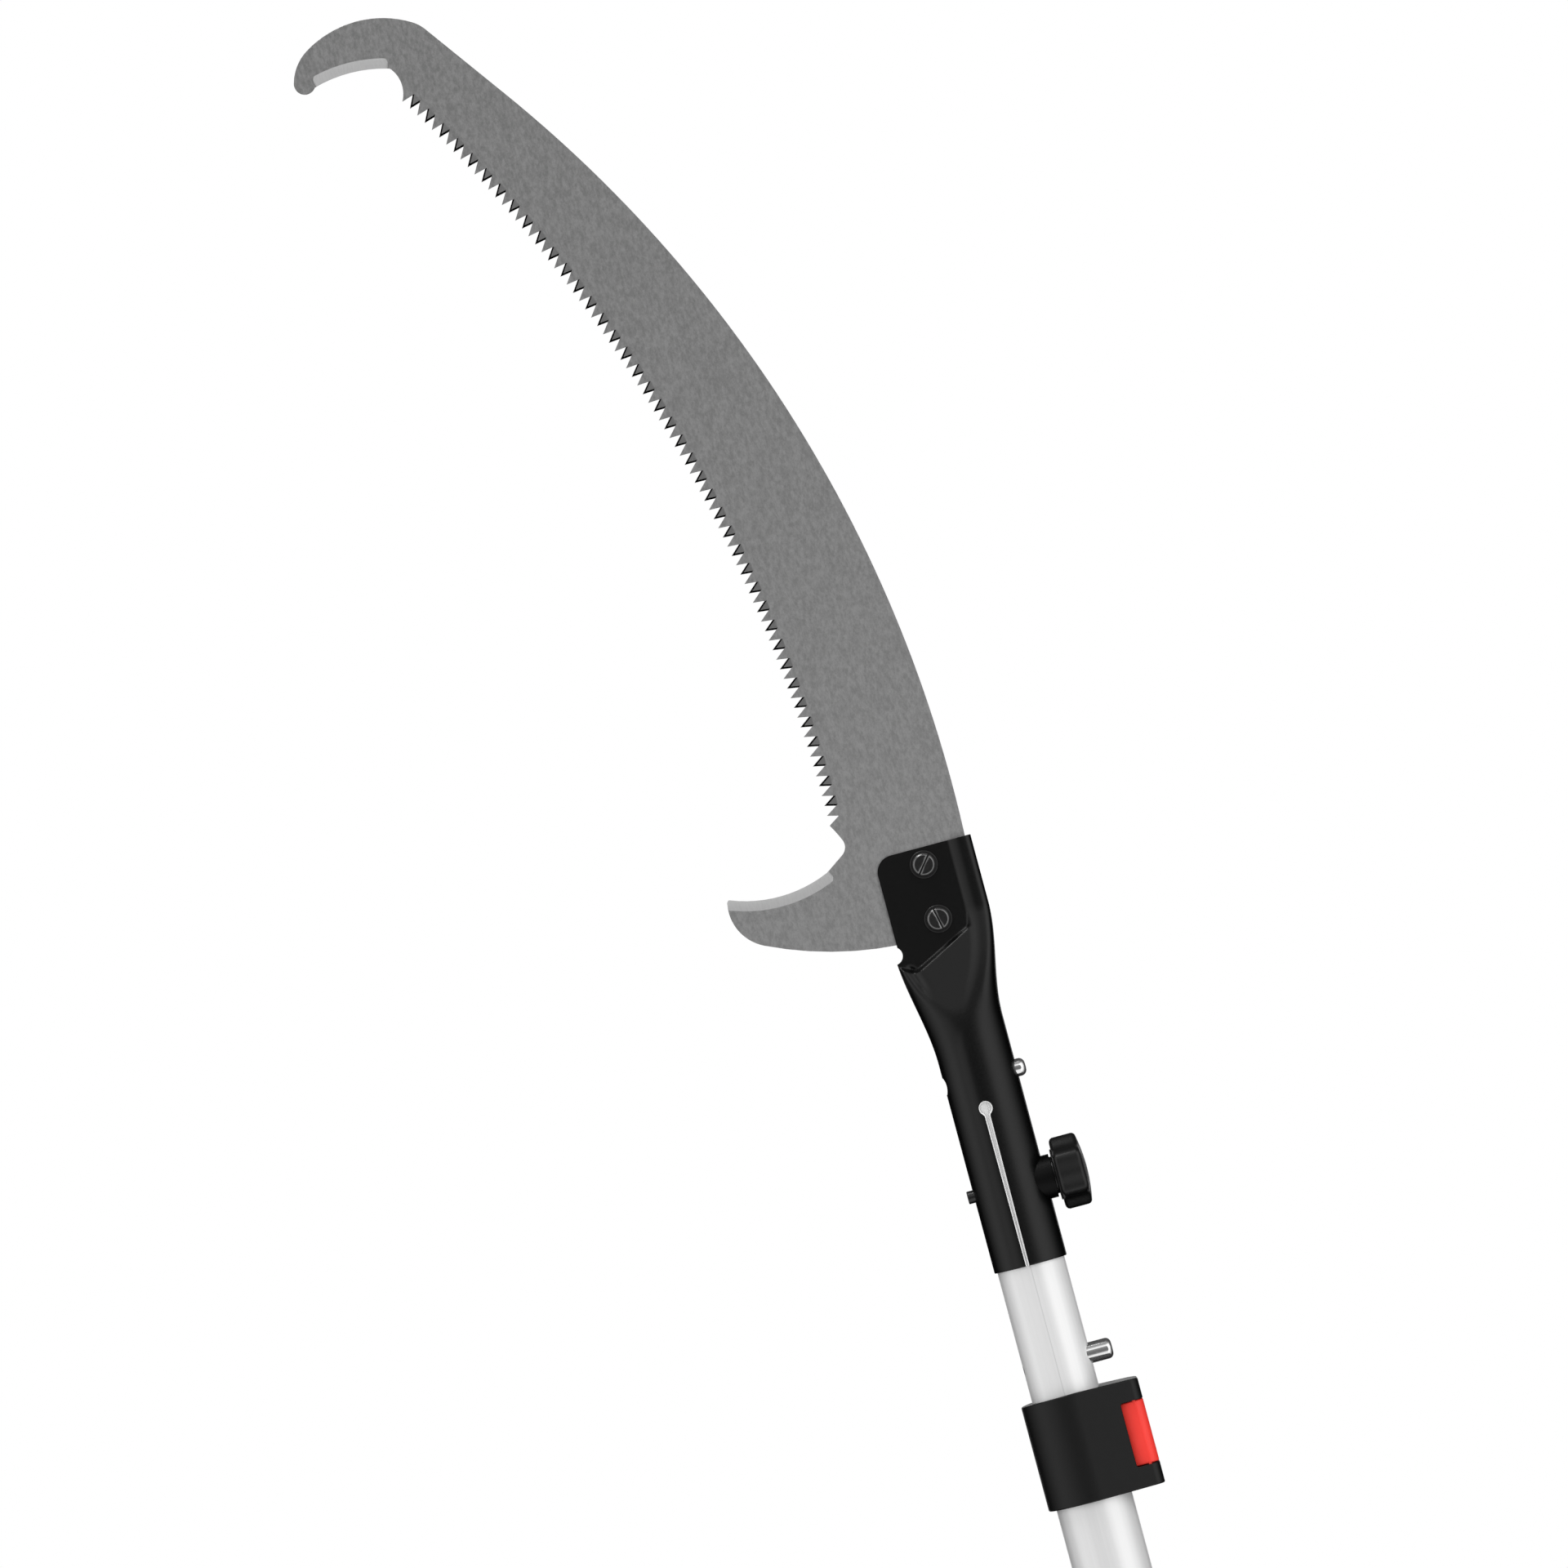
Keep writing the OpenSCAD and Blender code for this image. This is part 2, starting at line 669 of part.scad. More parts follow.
// Outline of the socket's upper part at height h: its two edges and its half depth at x
function loft_left(h) = -socket_x - (lip_left - socket_x) * ease(h, flare_start, flare_end);
function loft_right(h) = socket_x + (plate_right - socket_x) * ease(h, spine_start, spine_end);
function crease(x) = min(crease_left + crease_slope * (x + socket_x), spine_end);
function spine_y(x) =
    let (peak = plate_right - spine_peak, left = (peak - x) / (spine_w - spine_peak),
        right = (x - peak) / spine_peak)
    spine_half * (x < peak ? sqrt(max(0, 1 - left ^ 2)) : max(0, 1 - right ^ 3) ^ (1 / 3));
function plate_y(x) = x < plate_right - spine_peak ? max(leaf_y, spine_y(x)) : spine_y(x);
function loft_y(x, h) =
    let (half = (loft_right(h) - loft_left(h)) / 2, u = (x - loft_left(h)) / half - 1,
        t = min(1, max(0, (h - swell_start) / (crease(x) - swell_start))))
    plate_y(x) + (oval_y(u * socket_x, socket_x, socket_y) - plate_y(x)) * cos(90 * t);

// One ring of the loft, drawn in by a margin on both faces
function loft_ring(h, margin) =
    let (l = loft_left(h), r = loft_right(h), mid = (l + r) / 2, half = (r - l) / 2,
        xs = [for (k = [0:loft_points]) mid - half * cos(180 * k / loft_points)],
        draw = (half - margin) / half,
        side = [for (x = xs) [mid + (x - mid) * draw, max(loft_y(x, h) - margin, 0.4)]])
    [for (p = side) [p[0], p[1], socket_z + h],
        for (k = [loft_points:-1:0]) [side[k][0], -side[k][1], socket_z + h]];

// Solid through the rings at the given heights. A ring's points run along its +Y side and
// back along its -Y side, so each end is closed by strips across the ring.
module loft(heights, margin) {
    n = 2 * (loft_points + 1);
    rings = [for (h = heights, p = loft_ring(h, margin)) p];
    last = (len(heights) - 1) * n;
    skin = [for (k = [0:len(heights) - 2], j = [0:n - 1])
        let (a = k * n + j, b = k * n + (j + 1) % n) each [[a, b, b + n], [a, b + n, a + n]]];
    ends = [for (k = [0:loft_points - 1]) let (a = k, b = k + 1, c = n - 2 - k, d = n - 1 - k)
        each [[c, b, a], [d, c, a], [last + a, last + b, last + c], [last + a, last + c, last + d]]];
    polyhedron(rings, concat(skin, ends));
}

module socket_upper() {
    step = (socket_h - loft_z) / loft_rings;
    heights = [for (k = [0:loft_rings]) loft_z + step * k];
    difference() {
        loft(heights, loft_step);
        loft(concat([loft_z - cut], heights, [socket_h + cut]), sheet - loft_step);
    }
}

// What the front view of the plate loses: the strip beyond its edge, its corner and a notch
module plate_trim() {
    wide = 2 * lip_left;
    translate([-plate_left - wide, lip_top]) square([wide, socket_h]);
    translate([-plate_left - notch_out, lip_top + notch_r]) circle(notch_r, $fn = 48);
    translate([-plate_left, socket_h - plate_r]) difference() {
        translate([-cut, 0]) square([plate_r + cut, plate_r + cut]);
        translate([plate_r, 0]) circle(plate_r);
    }
}

// The slit below the keyhole. It is wider at its upper end.
module slit_outline() {
    low = slit_w / 2;
    high = low + slit_flare;
    polygon([[-low, -cut], [low, -cut], [high, keyhole_z], [-high, keyhole_z]]);
}

module blade_screw_holes() {
    for (k = [0, 1])
        y_bar(-socket_y, socket_y, screw_d + 2 * fit, 0, socket_z + screw_z + k * screw_pitch);
}

module blade_socket() {
    color(BLACK) difference() {
        union() {
            oval_sleeve(socket_x, socket_y, sheet, socket_z, socket_z + loft_z);
            socket_upper();
        }
        translate([0, 2 * socket_y, socket_z]) rotate([90, 0, 0])
            linear_extrude(4 * socket_y) plate_trim();
        translate([-2 * lip_left, -blade_t / 2 - slot_gap, tang_z - cut])
            cube([2 * lip_left + back_x + slot_gap, blade_t + 2 * slot_gap, socket_h]);
        translate([-slit_x, 2 * socket_y, socket_z]) rotate([90, 0, 0])
            linear_extrude(4 * socket_y) slit_outline();
        y_bar(-2 * socket_y, 2 * socket_y, keyhole_d, -slit_x, socket_z + keyhole_z);
        x_bar(-socket_x - cut, socket_x + cut, snap_hole_d, socket_z + snap_z);
        x_bar(-socket_x - cut, socket_x + cut, stud_d + 2 * stud_gap, socket_z + clamp_z);
        blade_screw_holes();
    }
}

module blade_screws() {
    face = leaf_y + washer_t;
    color(BLACK) for (k = [0, 1]) {
        z = socket_z + screw_z + k * screw_pitch;
        y_bar(-face, leaf_y + washer_t + nut_t + screw_tail, screw_d, 0, z);
        difference() {
            y_bar(-face - screw_head_t, -face, screw_head_d, 0, z);
            translate([0, -face - screw_head_t, z]) rotate([0, slot_turn[k], 0])
                cube([slot_w, 2 * slot_depth, 2 * screw_head_d], center = true);
        }
    }
}

// A washer under each screw's head and each nut
module blade_washers() {
    color(BLACK) for (k = [0, 1], side = [-1, 1]) {
        z = socket_z + screw_z + k * screw_pitch;
        y0 = side > 0 ? leaf_y : -leaf_y - washer_t;
        difference() {
            y_bar(y0, y0 + washer_t, washer_d, 0, z);
            y_bar(y0 - cut, y0 + washer_t + cut, screw_d + 2 * fit, 0, z);
        }
    }
}

module blade_nuts() {
    y0 = leaf_y + washer_t;
    color(BLACK) for (k = [0, 1]) translate([0, y0, socket_z + screw_z + k * screw_pitch])
        rotate([-90, 0, 0]) difference() {
            cylinder(h = nut_t, d = nut_flats / cos(30), $fn = 6);
            translate([0, 0, -cut]) cylinder(h = nut_t + 2 * cut, d = screw_d + 2 * fit);
        }
}

// ---- Clamp ----

// Boss that sits on the socket's round side
module clamp_saddle() {
    z = socket_z + clamp_z;
    color(BLACK) difference() {
        x_bar(side_c, knob_x - clamp_washer_t, saddle_d, z);
        oval_bar(socket_x + fit, socket_y + fit, z - saddle_d, z + saddle_d);
        x_bar(0, knob_x, stud_d + 2 * stud_gap, z);
    }
}

module clamp_washer() {
    z = socket_z + clamp_z;
    color(BLACK) difference() {
        x_bar(knob_x - clamp_washer_t, knob_x, saddle_d - 3, z);
        x_bar(0, knob_x + cut, stud_d + 2 * stud_gap, z);
    }
}

module knob_outline() {
    difference() {
        circle(d = knob_d);
        for (k = [0:knob_lobes - 1])
            translate(polar([0, 0], knob_d / 2 + lobe_r - lobe_depth, 360 * (k + 0.5) / knob_lobes))
                circle(lobe_r);
    }
}

module knob_rim_shape() {
    r = knob_d / 2;
    rotate_extrude() polygon([[0, knob_hub_t], [r - knob_rim, knob_hub_t], [r, knob_hub_t + knob_rim],
        [r, knob_t - knob_crown - knob_rim], [r - knob_rim, knob_t], [0, knob_t]]);
}

// Lobed knob with a domed face and a chamfered rim. Its round hub stands out at the back.
module clamp_knob() {
    dome_r = ((knob_d / 2) ^ 2 + knob_crown ^ 2) / (2 * knob_crown);
    color(BLACK) translate([knob_x, 0, socket_z + clamp_z]) rotate([0, 90, 0]) difference() {
        union() {
            cylinder(h = knob_t / 2, d = knob_hub_d);
            intersection() {
                translate([0, 0, knob_hub_t]) linear_extrude(knob_t) knob_outline();
                translate([0, 0, knob_t - dome_r]) sphere(dome_r);
                knob_rim_shape();
            }
        }
        translate([0, 0, -cut]) cylinder(h = knob_t - stud_end + cut, d = stud_d + 2 * fit);
    }
}

module clamp_stud() {
    color(BLACK) x_bar(-socket_x - stud_tail, knob_x + knob_t - stud_end, stud_d, socket_z + clamp_z);
}

// Nut pressed into the inner tube's -X wall
module clamp_nut() {
    inside = tube_x(0) - tube_wall;
    z = socket_z + clamp_z;
    color(STEEL) difference() {
        union() {
            intersection() {
                x_bar(-tube_x(0), -side_c, clamp_nut_d - 2, z);
                oval_bar(tube_x(0) - fit, tube_y(0) - fit, z - clamp_nut_d, z + clamp_nut_d);
            }
            intersection() {
                x_bar(-inside, -inside + clamp_nut_t, clamp_nut_d, z);
                oval_bar(inside - fit, tube_y(0) - tube_wall - fit, z - clamp_nut_d, z + clamp_nut_d);
            }
        }
        x_bar(-tube_x(0) - cut, 0, stud_d + 2 * stud_gap, z);
    }
}

// ---- Head button ----

module head_button() {
    color(BRIGHT) push_pin(tube_x(0) + snap_out, snap_len, snap_d, snap_edge, snap_flange_d,
        socket_z + snap_z);
}

module head_button_spring() {
    back = housing_back - tube_x(0) + tube_wall + fit;
    color(STEEL) coil_spring(back, tube_x(0) + snap_out - snap_edge - fit,
        snap_d - 2 * pin_wall - 2 * fit, spring_wire, spring_turns, socket_z + snap_z);
}

module head_button_housing() {
    color(GREY) pin_housing(0, snap_flange_d + pin_gap, snap_housing_h, socket_z + snap_z);
}

// ---- Inner tube ----

module inner_tube() {
    nubs = [socket_z + snap_z, storage_pin_z, inner_pin_z];
    stud_z = socket_z + clamp_z;
    color(ALUMINIUM) difference() {
        pole_tube(0, inner_bottom, inner_top, [[socket_z + snap_z, snap_hole_d],
            [stud_z, stud_d + 2 * stud_gap], [storage_pin_z, pin_hole_d], [inner_pin_z, pin_hole_d]]);
        for (z = nubs) x_bar(-tube_x(0) - cut, -side_c, nub_d + 2 * fit, z);
        x_bar(-tube_x(0) - cut, -side_c, clamp_nut_d - 2 + 2 * fit, stud_z);
    }
}

module inner_end_plug() {
    color(GREY) end_plug(0, inner_bottom);
}

module inner_pin_housings() {
    color(GREY) for (z = [storage_pin_z, inner_pin_z]) pin_housing(0, housing_bore, housing_h, z);
}

// Spring behind a lock pin in tube n
module pin_spring(n, tip, z) {
    coil_spring(housing_back - tube_x(n) + tube_wall + fit, tip - pin_edge - fit,
        pin_d - 2 * pin_wall - 2 * fit, spring_wire, spring_turns, z);
}

module storage_pin() {
    color(BRIGHT) push_pin(tube_x(0) + pin_out, pin_len, pin_d, pin_edge, pin_flange_d, storage_pin_z);
}

module storage_pin_spring() {
    color(STEEL) pin_spring(0, tube_x(0) + pin_out, storage_pin_z);
}

module inner_pin() {
    color(BRIGHT) push_pin(held_tip(1), pin_len, pin_d, pin_edge, pin_flange_d, inner_pin_z);
}

module inner_pin_spring() {
    color(STEEL) pin_spring(0, held_tip(1), inner_pin_z);
}

// ---- Middle tube ----

module middle_tube() {
    color(ALUMINIUM) difference() {
        pole_tube(1, middle_bottom, middle_top,
            [[middle_button_z, pin_hole_d], [middle_pin_z, pin_hole_d]]);
        x_bar(-tube_x(1) - cut, -side_c, nub_d + 2 * fit, middle_pin_z);
        collar_screw_holes(1, middle_collar_top);
    }
}

module middle_end_plug() {
    color(GREY) end_plug(1, middle_bottom);
}

module middle_pin_housing() {
    color(GREY) pin_housing(1, housing_bore, housing_h, middle_pin_z);
}

module middle_pin() {
    color(BRIGHT) push_pin(held_tip(2), pin_len, pin_d, pin_edge, pin_flange_d, middle_pin_z);
}

module middle_pin_spring() {
    color(STEEL) pin_spring(1, held_tip(2), middle_pin_z);
}

module middle_collar() {
    color(BLACK) collar(1, middle_collar_top);
}

module middle_collar_screws() {
    color(STEEL) collar_screws(1, middle_collar_top);
}

module middle_button() {
    color(RED) release_button(1, middle_button_z);
}

module middle_button_springs() {
    color(STEEL) button_springs(1, middle_button_z);
}

// ---- Outer tube and foot ----

module outer_tube() {
    color(ALUMINIUM) difference() {
        pole_tube(2, cap_floor, outer_top, [[outer_button_z, pin_hole_d]]);
        collar_screw_holes(2, outer_collar_top);
        end_cap_screw_holes();
    }
}

module outer_collar() {
    color(BLACK) collar(2, outer_collar_top);
}

module outer_collar_screws() {
    color(STEEL) collar_screws(2, outer_collar_top);
}

module outer_button() {
    color(RED) release_button(2, outer_button_z);
}

module outer_button_springs() {
    color(STEEL) button_springs(2, outer_button_z);
}

// Rubber sleeve with shallow grooves around it
module grip_sleeve() {
    x = tube_x(2) + grip_wall;
    y = tube_y(2) + grip_wall;
    bottom = cap_h + sleeve_gap;
    pitch = grip_len / (grip_grooves + 1);
    color(BLACK) difference() {
        oval_bar(x, y, bottom, bottom + grip_len);
        oval_bar(tube_x(2) + fit, tube_y(2) + fit, bottom - cut, bottom + grip_len + cut);
        if (grip_grooves > 0) for (k = [1:grip_grooves])
            translate([0, 0, bottom + k * pitch - groove_w / 2]) linear_extrude(groove_w)
                difference() {
                    square([3 * x, 3 * y], center = true);
                    oval(x - groove_depth, y - groove_depth);
                }
    }
}

module end_cap_screw_holes() {
    y_bar(-2 * tube_y(2), 2 * tube_y(2), pole_screw_d + 2 * fit, 0, cap_floor + cap_screw_rise);
}

// Closed cap under the outer tube, with a cross hole to hang the pole by
module end_cap() {
    color(BLACK) difference() {
        oval_bar(tube_x(2) + cap_wall, tube_y(2) + cap_wall, 0, cap_h);
        oval_bar(tube_x(2) + fit, tube_y(2) + fit, cap_floor, cap_h + cut);
        y_bar(-2 * tube_y(2), 2 * tube_y(2), hang_d, 0, cap_floor / 2);
        end_cap_screw_holes();
    }
}

// One screw in each broad face
module end_cap_screws() {
    color(STEEL) for (side = [0, 1]) mirror([0, side, 0])
        pole_screw(tube_y(2) - tube_wall + fit, tube_y(2) + cap_wall, cap_floor + cap_screw_rise);
}

blade();
blade_socket();
blade_screws();
blade_washers();
blade_nuts();
clamp_saddle();
clamp_washer();
clamp_knob();
clamp_stud();
clamp_nut();
head_button();
head_button_spring();
head_button_housing();
inner_tube();
inner_end_plug();
inner_pin_housings();
storage_pin();
storage_pin_spring();
inner_pin();
inner_pin_spring();
middle_tube();
middle_end_plug();
middle_pin_housing();
middle_pin();
middle_pin_spring();
middle_collar();
middle_collar_screws();
middle_button();
middle_button_springs();
outer_tube();
outer_collar();
outer_collar_screws();
outer_button();
outer_button_springs();
grip_sleeve();
end_cap();
end_cap_screws();
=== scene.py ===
import json
import math

import bmesh
import bpy
from mathutils import Matrix, Vector


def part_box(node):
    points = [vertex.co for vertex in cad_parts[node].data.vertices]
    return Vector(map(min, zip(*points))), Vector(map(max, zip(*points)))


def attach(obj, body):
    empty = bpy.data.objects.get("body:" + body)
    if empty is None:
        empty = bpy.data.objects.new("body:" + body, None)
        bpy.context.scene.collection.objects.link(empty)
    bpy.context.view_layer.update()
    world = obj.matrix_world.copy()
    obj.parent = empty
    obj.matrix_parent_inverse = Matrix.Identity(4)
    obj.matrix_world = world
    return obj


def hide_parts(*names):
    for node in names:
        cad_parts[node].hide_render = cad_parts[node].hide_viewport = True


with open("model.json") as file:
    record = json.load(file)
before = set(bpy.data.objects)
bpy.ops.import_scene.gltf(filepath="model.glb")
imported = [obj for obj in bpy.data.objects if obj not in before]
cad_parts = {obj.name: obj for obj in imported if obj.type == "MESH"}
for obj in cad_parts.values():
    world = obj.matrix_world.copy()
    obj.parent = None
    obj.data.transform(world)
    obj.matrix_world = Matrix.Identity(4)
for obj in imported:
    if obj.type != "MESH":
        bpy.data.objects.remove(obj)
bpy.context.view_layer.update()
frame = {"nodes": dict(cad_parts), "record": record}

# Lengths are in millimetres, and a mesh is turned into metres when it is made. The floor and the
# lamps are placed in metres.
MM = 0.001


def box(node):
    """Lowest and highest corner of a CAD node, in millimetres."""
    low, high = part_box(node)
    return low / MM, high / MM


def middle_z(node):
    """Height of a CAD node's middle."""
    return sum(box(node), Vector()).z / 2


# ---- Sizes that come from the frame ----

TUBES = ["inner_tube", "middle_tube", "outer_tube"]
WALL = 1.6
TUBE_STEP = 2.0
TUBE_X = [box(t)[1].x for t in TUBES]
TUBE_Y = [box("outer_tube")[1].y + TUBE_STEP * (n - 2) for n in range(3)]
SIDE_C = 7.0

SOCKET_Z = box("blade_socket")[0].z
SOCKET_TOP = box("blade_socket")[1].z
SOCKET_H = SOCKET_TOP - SOCKET_Z
SCREW_HEAD_R = 5.25
SCREW_Z = [box("blade_screws")[0].z + SCREW_HEAD_R, box("blade_screws")[1].z - SCREW_HEAD_R]
SNAP_Z, CLAMP_Z = middle_z("head_button"), middle_z("clamp_washer")
KNOB_BACK, KNOB_FRONT = box("clamp_knob")[0].x, box("clamp_knob")[1].x
KNOB_R = (box("clamp_knob")[1].z - box("clamp_knob")[0].z) / 2

# Radii of the holes for the blade's screws, the snap button, the clamp's stud and nut, the lock pins,
# the nubs of their housings, and the screws of the collars and the cap
BLADE_HOLE_R, SNAP_HOLE_R, STUD_HOLE_R, NUT_HOLE_R = 3.05, 4.55, 3.1, 4.05
PIN_HOLE_R, NUB_HOLE_R, POLE_SCREW_HOLE_R = 5.3, 2.55, 2.05
COLLAR_SCREWS = (-14, 14)
CAP_SCREW_Z = 28

# Cutters reach past what they cut by OVER, or as far as WIDE, and a revolved profile ends at AXIS_R
OVER, WIDE, AXIS_R = 1, 60, 0.01

# ---- Small helpers ----


def polar(c, r, a):
    return (c[0] + r * math.cos(math.radians(a)), c[1] + r * math.sin(math.radians(a)))


def arc(c, r, a0, a1, steps):
    return [polar(c, r, a0 + (a1 - a0) * k / steps) for k in range(steps + 1)]


def quarter(steps):
    """Sine and cosine at even steps over a quarter turn."""
    return [(math.sin(math.pi / 2 * k / steps), math.cos(math.pi / 2 * k / steps)) for k in range(steps + 1)]


def ease(x, a, b):
    t = min(1.0, max(0.0, (x - a) / (b - a)))
    return t * t * (3 - 2 * t)


def soft_max(a, b, k):
    """The greater of a and b, with the corner between them rounded over k."""
    h = max(k - abs(a - b), 0.0) / k
    return max(a, b) + h * h * k / 4


def linked(name, data):
    obj = bpy.data.objects.new(name, data)
    bpy.context.scene.collection.objects.link(obj)
    return obj


def shown(name, mesh, materials):
    for m in materials:
        mesh.materials.append(m)
    return linked(name, mesh)


def solid(name, points, faces, materials=(), indices=None):
    """A closed mesh object from points in millimetres. indices gives each face's material."""
    bm = bmesh.new()
    verts = [bm.verts.new([c * MM for c in p]) for p in points]
    for i, f in enumerate(faces):
        ids = [verts[k] for k in f]
        if len(set(ids)) == len(ids):
            face = bm.faces.new(ids)
            face.material_index = indices[i] if indices else 0
    bmesh.ops.remove_doubles(bm, verts=bm.verts, dist=1e-7)
    bmesh.ops.recalc_face_normals(bm, faces=bm.faces)
    if bm.calc_volume(signed=True) < 0:
        bmesh.ops.reverse_faces(bm, faces=bm.faces)
    mesh = bpy.data.meshes.new(name)
    bm.to_mesh(mesh)
    bm.free()
    return shown(name, mesh, materials)


def loft(rings, closed=False):
    """Points and faces of a skin through rings of equal length, with both ends closed."""
    n = len(rings[0])
    points = [p for ring in rings for p in ring]
    faces = []
    for k in range(len(rings) if closed else len(rings) - 1):
        a, b = k * n, (k + 1) % len(rings) * n
        faces += [[a + j, a + (j + 1) % n, b + (j + 1) % n, b + j] for j in range(n)]
    if not closed:
        faces += [list(range(n))[::-1], [(len(rings) - 1) * n + j for j in range(n)]]
    return points, faces


def applied(obj):
    """Turns the object's modifiers into its mesh."""
    graph = bpy.context.evaluated_depsgraph_get()
    mesh = bpy.data.meshes.new_from_object(obj.evaluated_get(graph))
    obj.modifiers.clear()
    obj.data = mesh


def cut(obj, *cutters):
    """Takes the cutters out of obj."""
    for cutter in cutters:
        m = obj.modifiers.new("cut", "BOOLEAN")
        m.operation = "DIFFERENCE"
        m.solver = "EXACT"
        m.object = cutter
        applied(obj)
        bpy.data.objects.remove(cutter)


def soften(obj, width, segments=2, angle=32):
    """Rounds the edges that are sharper than angle."""
    m = obj.modifiers.new("soften", "BEVEL")
    m.width = width * MM
    m.segments = segments
    m.limit_method = "ANGLE"
    m.angle_limit = math.radians(angle)
    m.use_clamp_overlap = True
    applied(obj)


def smooth(obj, angle=32):
    mesh = obj.data
    mesh.polygons.foreach_set("use_smooth", [True] * len(mesh.polygons))
    mesh.set_sharp_from_angle(angle=math.radians(angle))
    m = obj.modifiers.new("normals", "WEIGHTED_NORMAL")
    m.keep_sharp = True
    applied(obj)


def place(obj, body, slot, *nodes, angle=32):
    """Last step of a piece: smooth shading, its body, and hiding the CAD nodes it stands for. slot is not
    used.
    """
    smooth(obj, angle)
    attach(obj, body)
    if nodes:
        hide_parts(*nodes)


def revolve(profile, axis, centre, sides=64):
    """Rings of a solid of revolution about X or Y. profile holds (distance along it, radius)."""
    rings = []
    for d, r in profile:
        ring = []
        for k in range(sides):
            a = 2 * math.pi * k / sides
            u, v = r * math.cos(a), r * math.sin(a)
            if axis == "X":
                ring.append((centre[0] + d, centre[1] + u, centre[2] + v))
            else:
                ring.append((centre[0] + v, centre[1] + d, centre[2] + u))
        rings.append(ring)
    return rings


def bar(axis, z, d0, d1, r):
    """Round cutter along an axis at height z, from d0 to d1."""
    return solid("cutter", *loft(revolve([(d0, r), (d1, r)], axis, (0, 0, z), 48)))


def block(low, high, name="cutter"):
    (x0, y0, z0), (x1, y1, z1) = low, high
    rings = [[(x0, y0, z), (x1, y0, z), (x1, y1, z), (x0, y1, z)] for z in (z0, z1)]
    return solid(name, *loft(rings))


def slab(outline, y0, y1):
    """Prism along Y over an outline of (x, z) points."""
    return solid("cutter", *loft([[(x, y, z) for x, z in outline] for y in (y0, y1)]))


def rounded(d, radius, r, steps):
    """Quarter round of radius r that ends a revolved profile of the given radius at distance d."""
    return [(d - r + r * u, radius - r + r * v) for u, v in quarter(steps)]


# ---- Materials ----


def shader(name, color, metallic, roughness, **sockets):
    """A new material with its Principled node's plain values set."""
    material = bpy.data.materials.new(name)
    material.use_nodes = True
    tree = material.node_tree
    node = tree.nodes["Principled BSDF"]
    node.inputs["Base Color"].default_value = (*color, 1)
    node.inputs["Metallic"].default_value = metallic
    node.inputs["Roughness"].default_value = roughness
    for socket, value in sockets.items():
        node.inputs[socket.replace("_", " ")].default_value = value
    return material, tree, node


def grain(tree, scale, stretch=(1, 1, 1), detail=4, roughness=0.6):
    """Noise in the object's own coordinates. scale counts its features in a metre."""
    coord = tree.nodes.new("ShaderNodeTexCoord")
    mapping = tree.nodes.new("ShaderNodeMapping")
    mapping.inputs["Scale"].default_value = stretch
    node = tree.nodes.new("ShaderNodeTexNoise")
    node.inputs["Scale"].default_value = scale
    node.inputs["Detail"].default_value = detail
    node.inputs["Roughness"].default_value = roughness
    tree.links.new(coord.outputs["Object"], mapping.inputs["Vector"])
    tree.links.new(mapping.outputs["Vector"], node.inputs["Vector"])
    return node.outputs["Fac"]


def along(tree, axis, start, end):
    """0 at start and 1 at end along an axis, both in millimetres."""
    coord = tree.nodes.new("ShaderNodeTexCoord")
    split = tree.nodes.new("ShaderNodeSeparateXYZ")
    tree.links.new(coord.outputs["Object"], split.inputs["Vector"])
    return remap(tree, split.outputs[axis], start * MM, end * MM, 0, 1)


def remap(tree, value, low, high, to_low, to_high):
    """Maps low..high to to_low..to_high, and keeps the result in there."""
    node = tree.nodes.new("ShaderNodeMapRange")
    sockets = ("From Min", "From Max", "To Min", "To Max")
    for socket, number in zip(sockets, (low, high, to_low, to_high)):
        node.inputs[socket].default_value = number
    tree.links.new(value, node.inputs["Value"])
    return node.outputs["Result"]


def math_node(tree, operation, a, b):
    node = tree.nodes.new("ShaderNodeMath")
    node.operation = operation
    tree.links.new(a, node.inputs[0])
    tree.links.new(b, node.inputs[1])
    return node.outputs["Value"]


def paint(tree, node, fac, low, high):
    """Base colour that runs from low where fac is 0 to high where it is 1."""
    mix = tree.nodes.new("ShaderNodeMix")
    mix.data_type = "RGBA"
    mix.inputs["A"].default_value = (*low, 1)
    mix.inputs["B"].default_value = (*high, 1)
    tree.links.new(fac, mix.inputs["Factor"])
    tree.links.new(mix.outputs["Result"], node.inputs["Base Color"])


def rub(tree, node, noise, low, high):
    """Roughness that runs from low in the noise's dark parts to high in its light ones."""
    tree.links.new(remap(tree, noise, 0.3, 0.7, low, high), node.inputs["Roughness"])


def bump(tree, node, height, distance):
    """Surface relief of the given depth in millimetres."""
    relief = tree.nodes.new("ShaderNodeBump")
    relief.inputs["Strength"].default_value = 1.0
    relief.inputs["Distance"].default_value = distance * MM
    tree.links.new(height, relief.inputs["Height"])
    tree.links.new(relief.outputs["Normal"], node.inputs["Normal"])


def grey(value):
    return (value, value, value)


def blade_steel():
    """Satin steel with a fine mottle, and painted light that makes it lighter towards the socket."""
    material, tree, node = shader("blade_steel", grey(0.45), 1.0, 0.42)
    cloud = grain(tree, 420, (1.5, 1, 0.8), 3, 0.7)
    speck = grain(tree, 1500, detail=2)
    mottle = math_node(tree, "ADD", remap(tree, cloud, 0.35, 0.65, -0.25, 0.25),
                       remap(tree, speck, 0.3, 0.7, -0.09, 0.09))
    # Painted light: the colour grows lighter from the blade's top down to the socket
    height = along(tree, "Z", BLADE_TOP, SOCKET_TOP)
    mottle_and_painted_light = math_node(tree, "ADD", mottle, remap(tree, height, 0, 1, 0.29, 0.76))
    paint(tree, node, mottle_and_painted_light, grey(0.38), grey(0.72))
    bump(tree, node, speck, 0.01)
    return material


